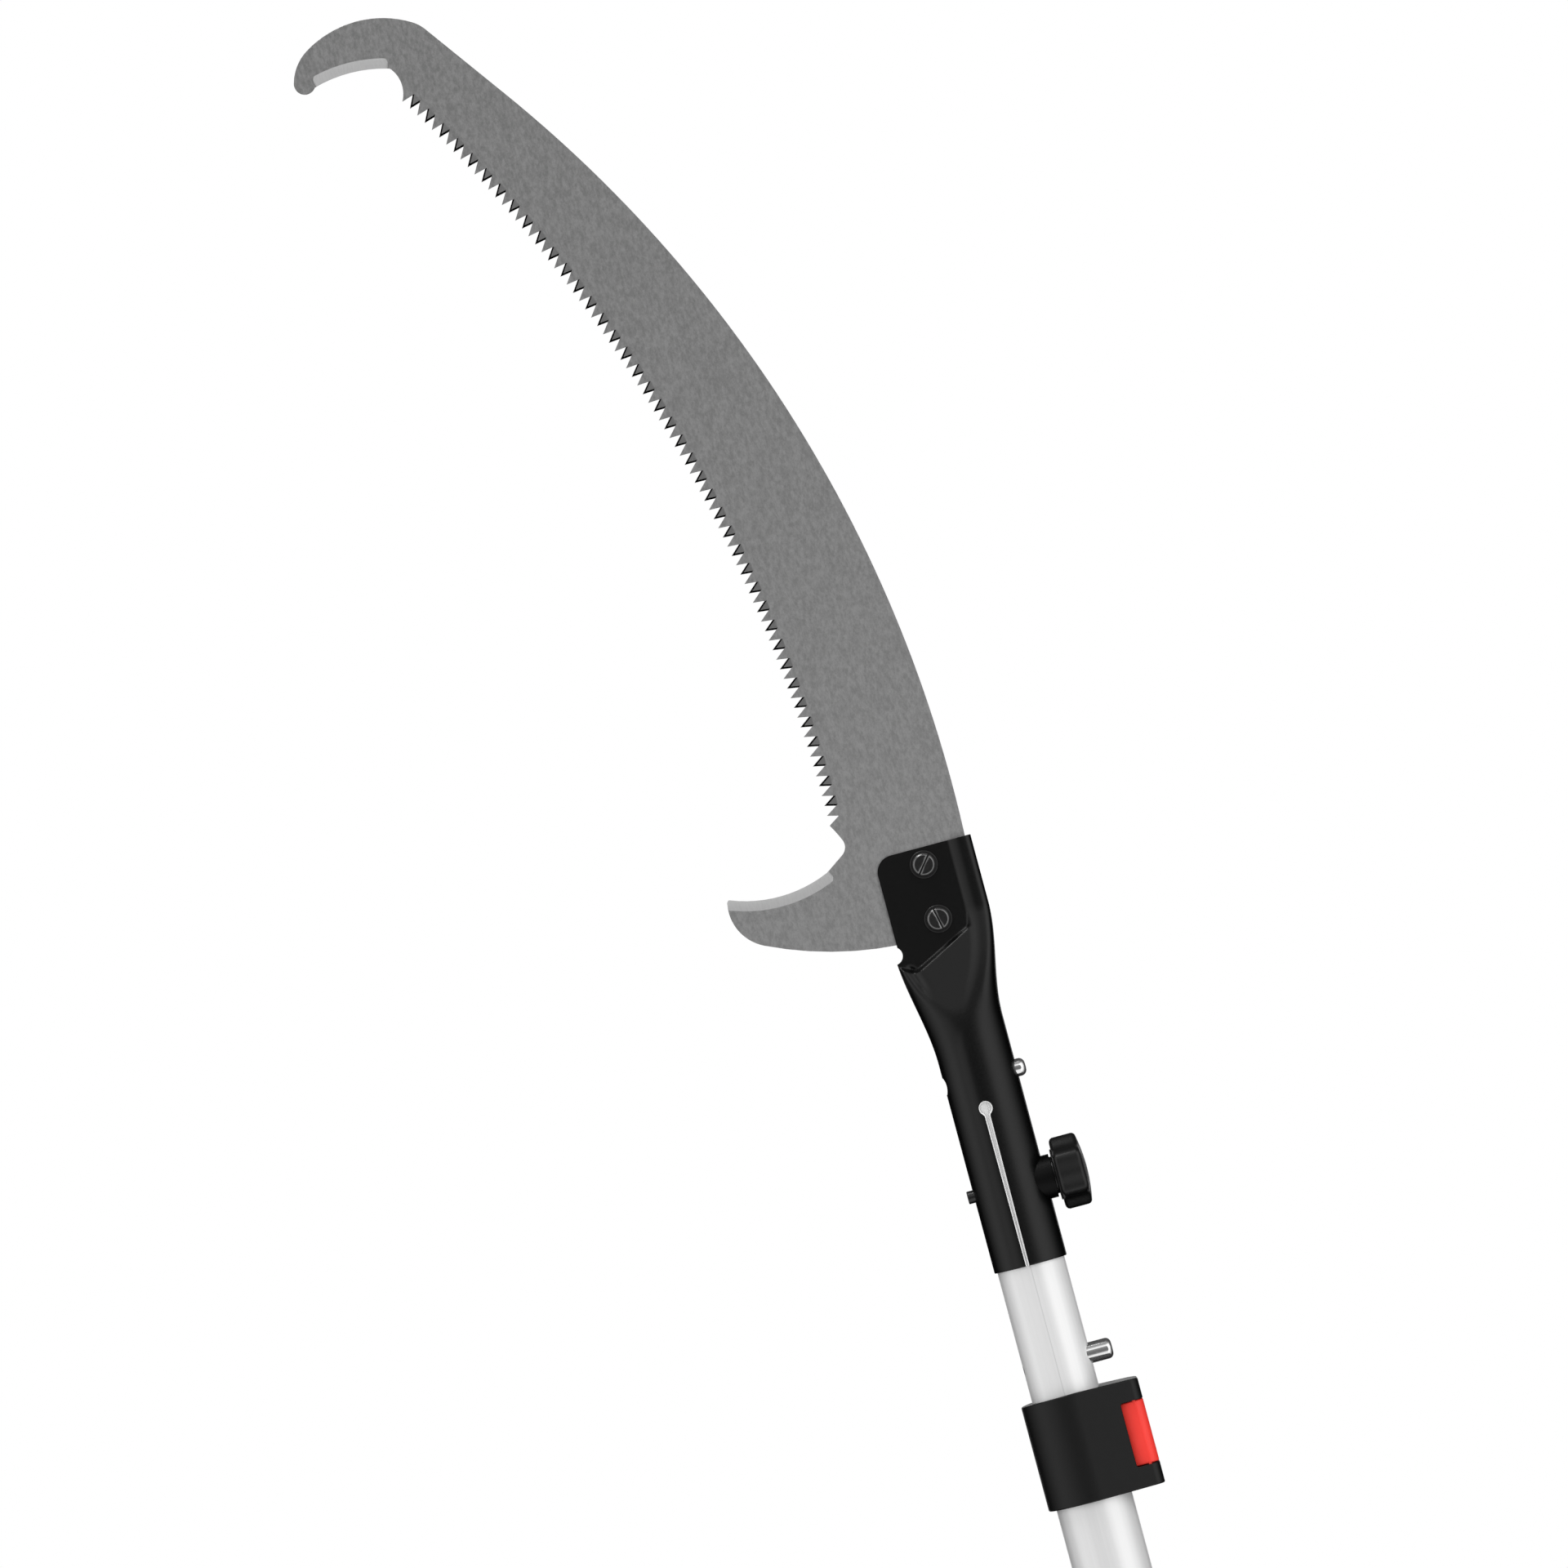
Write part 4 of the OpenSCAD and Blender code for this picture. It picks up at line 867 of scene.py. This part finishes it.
def make_tube(n, body, holes, screws=()):
    """Tube n with eased ends. holes lists (z, radius at +X, radius at -X or 0) in its round sides,
    screws lists (z, side) in its broad faces."""
    node = TUBES[n]
    z0, z1 = box(node)[0].z, box(node)[1].z
    x, y, e = TUBE_X[n], TUBE_Y[n], TUBE_EASE
    rings = []
    for draw, z in ((0, z0 + e), (0, z1 - e), (e, z1), (WALL - e, z1), (WALL, z1 - e), (WALL, z0 + e),
                    (WALL - e, z0), (e, z0)):
        depth = GROOVE_DEPTH if n == 0 and draw < WALL / 2 else 0
        ring, groove_index = grooved(oval_ring(x - draw, y - draw, z), depth)
        rings.append(ring)
    points, faces = loft(rings, closed=True)
    # Painted shade: the groove's two faces get a darker copy of the anodised finish
    indices = [int(n == 0 and k in (groove_index, groove_index + 1)) for k in range(len(faces))]
    obj = solid(node + "_extrusion", points, faces, [ANODISED, GROOVE_PAINTED_SHADE], indices)
    cut(obj, *[hole("X", z, r, 1, SIDE_C, x + OVER) for z, r, _ in holes],
        *[hole("X", z, r, -1, SIDE_C, x + OVER) for z, _, r in holes if r],
        *[hole("Y", z, POLE_SCREW_HOLE_R, side, SIDE_C / 2, y + OVER) for z, side in screws])
    place(obj, body, "anodised", node, angle=25)


# ---- Collars and buttons ----

COLLARS, BUTTONS = ["middle_collar", "outer_collar"], ["middle_button", "outer_button"]
COLLAR_WALL, COLLAR_LIP, COLLAR_CROWN, LIP_GAP, TUBE_FIT = 3.5, 5.0, 1.5, 0.3, 0.05
COLLAR_EDGE, BUTTON_EDGE = 0.7, 0.8
NOSE_REACH, NOSE_HALF, NOSE_R = 16.0, 13.0, 5.0
WINDOW_LEN, WINDOW_R = (11.0, 10.5), 1.3
BUTTON_BOW = (0.8, 0.1)
BUTTON_GAP, BUTTON_WALL, BUTTON_FRONT, BUTTON_TRAVEL = 0.3, 2.0, 2.5, 10.4
PUSHER_R, PUSHER_EASE = 4.5, 0.9
FLANGE_HALF, FLANGE_RISE, FLANGE_BACK, FLANGE_FRONT = 11.2, 1.8, 5.3, 3.8
POCKET_GAP, POCKET_FRONT = 0.3, 3.5


def collar_section(n, draw):
    """Outline of tube n's collar: its oval with a rounded nose, drawn in by draw."""
    x, y = TUBE_X[n] + COLLAR_WALL, TUBE_Y[n] + COLLAR_WALL
    side, face = oval_radii(x, y)
    face_c = (0, y - face)
    nose_c = (TUBE_X[n] + NOSE_REACH - NOSE_R, NOSE_HALF - NOSE_R)
    dx, dy = nose_c[0] - face_c[0], nose_c[1] - face_c[1]
    normal = math.degrees(math.atan2(dy, dx) + math.acos((face - NOSE_R) / math.hypot(dx, dy)))
    b = math.degrees(math.atan2(face - y, SIDE_C))
    half = arc(nose_c, NOSE_R - draw, 0, normal, 14)
    half += arc(face_c, face - draw, normal, 180 - b, 30)
    half += arc((-SIDE_C, 0), side - draw, 180 - b, 180, 16)[1:]
    return half + [(px, -py) for px, py in half[-2::-1]]


def oval_cutter(n, gap, shift, z0, z1):
    """Cutter over tube n's oval, wider by gap and moved along X by shift, from z0 to z1."""
    oval = [(x + shift, y) for x, y, _ in oval_ring(TUBE_X[n] + gap, TUBE_Y[n] + gap, 0)]
    return solid("cutter", *loft([[(x, y, z) for x, y in oval] for z in (z0, z1)]))


def make_collar(n, body):
    """Collar of tube n, with a crowned top, the button's window, and a pocket for its flange."""
    node, button = COLLARS[n - 1], BUTTONS[n - 1]
    low, high = box(node)
    nose_x, top, edge = high.x, high.z, COLLAR_EDGE
    crown_x = (nose_x - TUBE_X[n] - COLLAR_WALL) / 2
    crown_r = (nose_x ** 2 + COLLAR_CROWN ** 2) / (2 * COLLAR_CROWN)
    rings = []
    for u, v in quarter(4):
        rings.append([(x, y, low.z + edge * (1 - v)) for x, y in collar_section(n, edge * (1 - u))])
    for u, v in quarter(4):
        ring, drop = collar_section(n, edge * (1 - v)), edge * (1 - u) + crown_r
        rings.append([(x, y, top - drop + math.sqrt(crown_r ** 2 - (x - crown_x) ** 2)) for x, y in ring])
    obj = solid(node + "_body", *loft(rings), [COLLAR])
    middle = middle_z(button)
    half = box(button)[1].z - middle - (FLANGE_RISE - BUTTON_GAP)
    left, right = nose_x - WINDOW_LEN[n - 1], nose_x + OVER
    window = arc((left + WINDOW_R, middle + half - WINDOW_R), WINDOW_R, 90, 180, 8)
    window += arc((left + WINDOW_R, middle - half + WINDOW_R), WINDOW_R, 180, 270, 8)
    window += [(right, middle - half), (right, middle + half)]
    wide, high_by = FLANGE_HALF + POCKET_GAP, half + FLANGE_RISE
    pocket = block((SIDE_C, -wide, middle - high_by), (nose_x - POCKET_FRONT, wide, middle + high_by))
    bolts = [(low.z + top) / 2 + dz for dz in COLLAR_SCREWS]
    cut(obj, oval_cutter(n, TUBE_FIT, 0, low.z - OVER, top - COLLAR_LIP),
        oval_cutter(n - 1, LIP_GAP, 0, top - COLLAR_LIP - OVER, top + OVER),
        slab(window, -WIDE, WIDE), pocket,
        *[bar("Y", z, TUBE_Y[n] - 2 * OVER, WIDE, POLE_SCREW_HOLE_R) for z in bolts])
    soften(obj, 0.35, 3, 50)
    place(obj, body, "collar_plastic", node, angle=40)


def button_section(n, draw):
    """Outline of a button: a rounded nose, and sides that bow in towards the back."""
    front, half, steps = TUBE_X[n] + NOSE_REACH, box(BUTTONS[0])[1].y, 8
    back = front - WINDOW_LEN[n - 1] + BUTTON_GAP / 2 + draw
    side = arc((front - NOSE_R, half - NOSE_R), NOSE_R - draw, 0, 90, 16)
    for k in range(1, steps + 1):
        x = front - NOSE_R + (back - front + NOSE_R) * k / steps
        side.append((x, half - draw - BUTTON_BOW[n - 1] * (k / steps) ** 2))
    return side + [(x, -y) for x, y in side[::-1]]


def button_hollow(low, high):
    """The space inside a button, which its springs and pusher stand in."""
    front, half, end = high.x - BUTTON_FRONT, high.y - BUTTON_WALL, FLANGE_RISE + BUTTON_WALL
    return block((front - NOSE_REACH, -half, low.z + end), (front, half, high.z - end))


def make_button(n):
    """Release button of tube n: its cap, the flange that holds it in the collar, and its pusher."""
    node = BUTTONS[n - 1]
    low, high = box(node)
    edge = BUTTON_EDGE
    rings = []
    for end, sign in ((low.z + FLANGE_RISE, 1), (high.z - FLANGE_RISE, -1)):
        part = []
        for u, v in quarter(5):
            z = end + sign * edge * (1 - u)
            part.append([(x, y, z) for x, y in button_section(n, edge * (1 - v))])
        rings += part[::-1] if sign > 0 else part
    obj = solid(node + "_cap", *loft(rings), [RED])
    swept = oval_cutter(n, 0, BUTTON_TRAVEL + BUTTON_GAP, low.z - OVER, high.z + OVER)
    cut(obj, button_hollow(low, high), swept)
    place(obj, node, "button_red", node, angle=40)
    flange = block((high.x - FLANGE_BACK, -FLANGE_HALF, low.z), (high.x - FLANGE_FRONT, FLANGE_HALF, high.z),
                   node + "_flange")
    flange.data.materials.append(RED)
    cut(flange, button_hollow(low, high))
    soften(flange, 0.3)
    place(flange, node, "button_red")
    profile = [(low.x, PUSHER_R - PUSHER_EASE), (low.x + PUSHER_EASE, PUSHER_R), (high.x - 3, PUSHER_R)]
    rings = revolve(profile, "X", (0, 0, (low.z + high.z) / 2))
    place(solid(node + "_pusher", *loft(rings), [RED]), node, "button_red")


# ---- Build ----

STEEL, ENAMEL = blade_steel(), enamel()
GROUND = metal("ground_steel", 0.475, 0.605, 0.5, 0.4, 500, 0.01, (5, 1, 0.6))
# Painted reflection: the teeth's edges are near black, for the dark they reflect
TOOTH_PAINTED_DARK = metal("tooth_flank_painted_dark", 0.04, 0.06, 1.0, 0.35, 900, detail=4)
FACE = metal("tooth_face", 0.44, 0.66, 1.0, 0.35, 900, detail=4)
MATERIALS_BLADE = [STEEL, GROUND, TOOTH_PAINTED_DARK, FACE]
# Painted light: near white finish on the slit's walls, which brightens the slit
SLIT_WALL_PAINTED_LIGHT = metal("slit_wall_painted_light", 0.86, 0.93, 0.0, 0.45, 800, detail=2)
SCREW = metal("screw_black", 0.0315, 0.0675, 0.8, 0.3, 700, 0.01)
# Wear and painted highlight: the lighter finish of the screws' rims, and a painted highlight on their slots'
# edges
SCREW_WEAR_AND_HIGHLIGHT = metal("screw_rim_wear_and_highlight", 0.105, 0.225, 0.8, 0.2, 700, 0.01)
ZINC = metal("zinc_steel", 0.517, 0.572, 1.0, 0.35, 600, 0.01, rubbed=(0.28, 0.4375))
POLISHED = metal("polished_steel", 0.893, 0.988, 0.9, 0.08, 600, 0.0003, rubbed=(0.064, 0.1))
SPRING = metal("spring_steel", 0.3948, 0.4368, 1.0, 0.3, 600, 0.005, rubbed=(0.24, 0.375))
# The groove's finish is a darker copy of the anodised one, a painted shade along the groove
ANODISED, GROOVE_PAINTED_SHADE = anodised("anodised", 0.85, 0.90), anodised("tube_groove_painted_shade", 0.70, 0.76)
KNOB = plastic("knob_plastic", grey(0.0055), grey(0.008), 0.42, 2200, 0.02, Specular_IOR_Level=0.42)
# Painted shade: a darker, less glossy copy of the knob's plastic for the clamp's boss, for the shadow beside
# the knob
KNOB_PLASTIC_PAINTED_SHADE = plastic("knob_plastic_painted_shade", grey(0.001), grey(0.002), 0.45, 2200, 0.01, Specular_IOR_Level=0.15)
COLLAR = plastic("collar_plastic", grey(0.004), grey(0.006), 0.42, 2600, 0.012, Specular_IOR_Level=0.35)
RED = plastic("button_red", (0.94, 0.045, 0.034), (0.98, 0.06, 0.044), 0.4, 2000, 0.008,
              Specular_IOR_Level=0.35)
INNER = plastic("inner_plastic", grey(0.09), grey(0.12), 0.5, 1500, 0.01)
RUBBER = plastic("grip_rubber", grey(0.013), grey(0.018), 0.75, 1200, 0.05)
SLOTS = {"blade_steel": STEEL, "socket_black": ENAMEL, "screw_black": SCREW, "zinc_steel": ZINC,
         "polished_steel": POLISHED, "spring_steel": SPRING, "anodised": ANODISED, "knob_plastic": KNOB,
         "collar_plastic": COLLAR, "button_red": RED, "inner_plastic": INNER, "grip_rubber": RUBBER}

make_blade()
make_socket()
make_screws()
make_knob()
refined("screw_washers", "blade_washers", "inner_section", "screw_black", 0.35, 3)
refined("screw_nuts", "blade_nuts", "inner_section", "screw_black", 0.3)
# The boss gets the knob plastic's copy with painted shade
refined("clamp_boss", "clamp_saddle", "inner_section", "knob_plastic", 0.4, material=KNOB_PLASTIC_PAINTED_SHADE)
refined("knob_washer", "clamp_washer", "clamp_washer", "screw_black", 0.2)
refined("knob_stud", "clamp_stud", "clamp_knob", "screw_black", 0.4)
make_pin("snap_button", "head_button", 8.5, 2.8)
make_pin("storage_lock_pin", "storage_pin", 10, 2.5)
make_pin("lock_inner_pin", "inner_pin", 10, 2.5)
make_pin("lock_middle_pin", "middle_pin", 10, 2.5)

storage_hole, inner_hole, middle_hole = ((middle_z(pin), PIN_HOLE_R, NUB_HOLE_R)
                                         for pin in ("storage_pin", "inner_pin", "middle_pin"))
make_tube(0, "inner_section", [(SNAP_Z, SNAP_HOLE_R, NUB_HOLE_R), (CLAMP_Z, STUD_HOLE_R, NUT_HOLE_R),
                               storage_hole, inner_hole])
make_tube(1, "middle_section", [(middle_z("middle_button"), PIN_HOLE_R, 0), middle_hole],
          [(middle_z("middle_collar_screws") + dz, 1) for dz in COLLAR_SCREWS])
make_tube(2, "outer_section", [(middle_z("outer_button"), PIN_HOLE_R, 0)],
          [(middle_z("outer_collar_screws") + dz, 1) for dz in COLLAR_SCREWS]
          + [(CAP_SCREW_Z, 1), (CAP_SCREW_Z, -1)])

make_collar(1, "middle_section")
make_collar(2, "outer_section")
make_button(1)
make_button(2)
for name, body in (("middle", "middle_section"), ("outer", "outer_section")):
    refined(name + "_collar_bolts", name + "_collar_screws", body, "zinc_steel", 0.25)
refined("foot_cap", "end_cap", "outer_section", "collar_plastic", 1.0, 3)
refined("foot_cap_bolts", "end_cap_screws", "outer_section", "zinc_steel", 0.25)
refined("hand_grip", "grip_sleeve", "outer_section", "grip_rubber", 0.35)

# CAD nodes that stay as they are get their slot's finish
for part in frame["record"]["subparts"]:
    node = frame["nodes"][part["node"]]
    if not node.hide_render:
        node.data.materials.clear()
        node.data.materials.append(SLOTS[part["material_slot"]])

# ---- Studio ----


def make_floor():
    """Only the camera sees the floor, so it throws no light on the object."""
    half, drop = 12.0, 0.001
    bm = bmesh.new()
    bmesh.ops.create_grid(bm, x_segments=1, y_segments=1, size=half)
    mesh = bpy.data.meshes.new("floor")
    bm.to_mesh(mesh)
    bm.free()
    obj = shown("floor", mesh, [shader("floor_white", grey(0.9), 0.0, 0.8)[0]])
    obj.location.z = -drop
    obj.visible_diffuse = False
    obj.visible_glossy = False


def make_lamp(name, place_at, target, size, power, glossy=True):
    """Rectangular lamp that faces target. glossy says whether reflections show it."""
    lamp = bpy.data.lights.new(name, "AREA")
    lamp.shape = "RECTANGLE"
    lamp.size, lamp.size_y = size
    lamp.energy = power
    obj = linked(name, lamp)
    obj.location = place_at
    obj.rotation_euler = (Vector(target) - Vector(place_at)).to_track_quat("-Z", "Y").to_euler()
    obj.visible_camera = False
    obj.visible_glossy = glossy


def make_sun():
    """Soft light from straight above, on the floor and on what faces up."""
    lamp = bpy.data.lights.new("ceiling", "SUN")
    lamp.energy = 1.5
    lamp.angle = math.radians(20)
    linked("ceiling", lamp).visible_glossy = False


# Brightness of the studio's two sides, from the camera at -1 to behind the object at 1
BACK_PANEL = [(0.87, 0.0), (0.96, 0.8)]
LEFT_WALL = [(-1.0, 0.08), (-0.93, 0.12), (-0.84, 0.5), (-0.6, 0.6), (-0.43, 0.9), (-0.15, 0.65),
             (0.1, 0.2), (0.35, 0.0)] + BACK_PANEL
RIGHT_WALL = [(-1.0, 0.08), (-0.93, 0.16), (-0.84, 1.0), (-0.6, 1.0), (-0.4, 0.75), (-0.1, 0.3),
              (0.1, 0.06), (0.3, 0.0)] + BACK_PANEL


def wall_ramp(tree, fac, stops):
    """Grey over fac, which runs from 0 to 1 where the stops' places run from -1 to 1."""
    ramp = tree.nodes.new("ShaderNodeValToRGB")
    ramp.color_ramp.interpolation = "EASE"
    elements = ramp.color_ramp.elements
    for y, _ in stops[2:]:
        elements.new((y + 1) / 2)
    for element, (y, level) in zip(elements, stops):
        element.position = (y + 1) / 2
        element.color = (*grey(level), 1)
    tree.links.new(fac, ramp.inputs["Fac"])
    return ramp.outputs["Color"]


def make_world():
    """White for the camera. All else sees a studio that is dark where the camera stands, with a
    light wall on each side and a light panel straight behind the object."""
    world = bpy.data.worlds.new("studio")
    bpy.context.scene.world = world
    world.use_nodes = True
    tree = world.node_tree
    coord = tree.nodes.new("ShaderNodeTexCoord")
    split = tree.nodes.new("ShaderNodeSeparateXYZ")
    tree.links.new(coord.outputs["Generated"], split.inputs["Vector"])
    depth = remap(tree, split.outputs["Y"], -1, 1, 0, 1)
    left, right = (wall_ramp(tree, depth, stops) for stops in (LEFT_WALL, RIGHT_WALL))
    blend = tree.nodes.new("ShaderNodeMix")
    blend.data_type = "RGBA"
    tree.links.new(remap(tree, split.outputs["X"], -0.2, 0.2, 0, 1), blend.inputs["Factor"])
    tree.links.new(left, blend.inputs["A"])
    tree.links.new(right, blend.inputs["B"])
    studio = tree.nodes["Background"]
    # The walls get dimmer overhead, and a little below the horizon
    ceiling = remap(tree, split.outputs["Z"], 0.55, 0.82, 1.4, 0.3)
    ground = remap(tree, split.outputs["Z"], -0.03, 0.03, 0.8, 1)
    tree.links.new(math_node(tree, "MULTIPLY", ceiling, ground), studio.inputs["Strength"])
    tree.links.new(blend.outputs["Result"], studio.inputs["Color"])
    white = tree.nodes.new("ShaderNodeBackground")
    white.inputs["Color"].default_value = (1, 1, 1, 1)
    path = tree.nodes.new("ShaderNodeLightPath")
    seen = math_node(tree, "MAXIMUM", path.outputs["Is Camera Ray"], path.outputs["Is Transmission Ray"])
    mix = tree.nodes.new("ShaderNodeMixShader")
    tree.links.new(seen, mix.inputs["Fac"])
    tree.links.new(studio.outputs["Background"], mix.inputs[1])
    tree.links.new(white.outputs["Background"], mix.inputs[2])
    tree.links.new(mix.outputs["Shader"], tree.nodes["World Output"].inputs["Surface"])


VIEW_X, VIEW_RISE, VIEW_W, VIEW_TILT = -52.8, 244.2, 725.8, 15


def make_camera():
    """Straight at the blade's broad face, tilted so that the pole leans to the left. Its picture is
    VIEW_W wide at the pole, about a point at VIEW_X and VIEW_RISE over the socket's bottom."""
    centre = Vector((VIEW_X, 0, SOCKET_Z + VIEW_RISE)) * MM
    width, lens, tilt = VIEW_W * MM, 300.0, math.radians(VIEW_TILT)
    data = bpy.data.cameras.new("camera")
    data.lens = lens
    data.sensor_width = 36.0
    obj = linked("camera", data)
    right = Vector((math.cos(tilt), 0, -math.sin(tilt)))
    up = Vector((math.sin(tilt), 0, math.cos(tilt)))
    back = Vector((0, -1, 0))
    distance = width * lens / data.sensor_width
    rotation = Matrix((right, up, back)).transposed().to_4x4()
    obj.matrix_world = Matrix.Translation(centre + back * distance) @ rotation
    data.clip_start, data.clip_end = 0.1, 100
    bpy.context.scene.camera = obj


make_floor()
make_world()
make_camera()
head, shaft = (0, 0, SOCKET_TOP * MM), (0, 0, 0.9)
make_lamp("right_softbox", (2.5, -1.0, 2.1), head, (1.6, 3.2), 22, glossy=False)
make_lamp("front_softbox", (-0.1, -2.6, 2.2), head, (1.2, 1.2), 10, glossy=False)
make_lamp("top_softbox", (-0.3, -0.4, 3.2), head, (0.5, 0.5), 6)
make_lamp("low_fill", (-1.6, -3.6, 1.1), shaft, (2.2, 1.8), 7, glossy=False)
make_sun()
bpy.context.scene.view_settings.view_transform = "Standard"
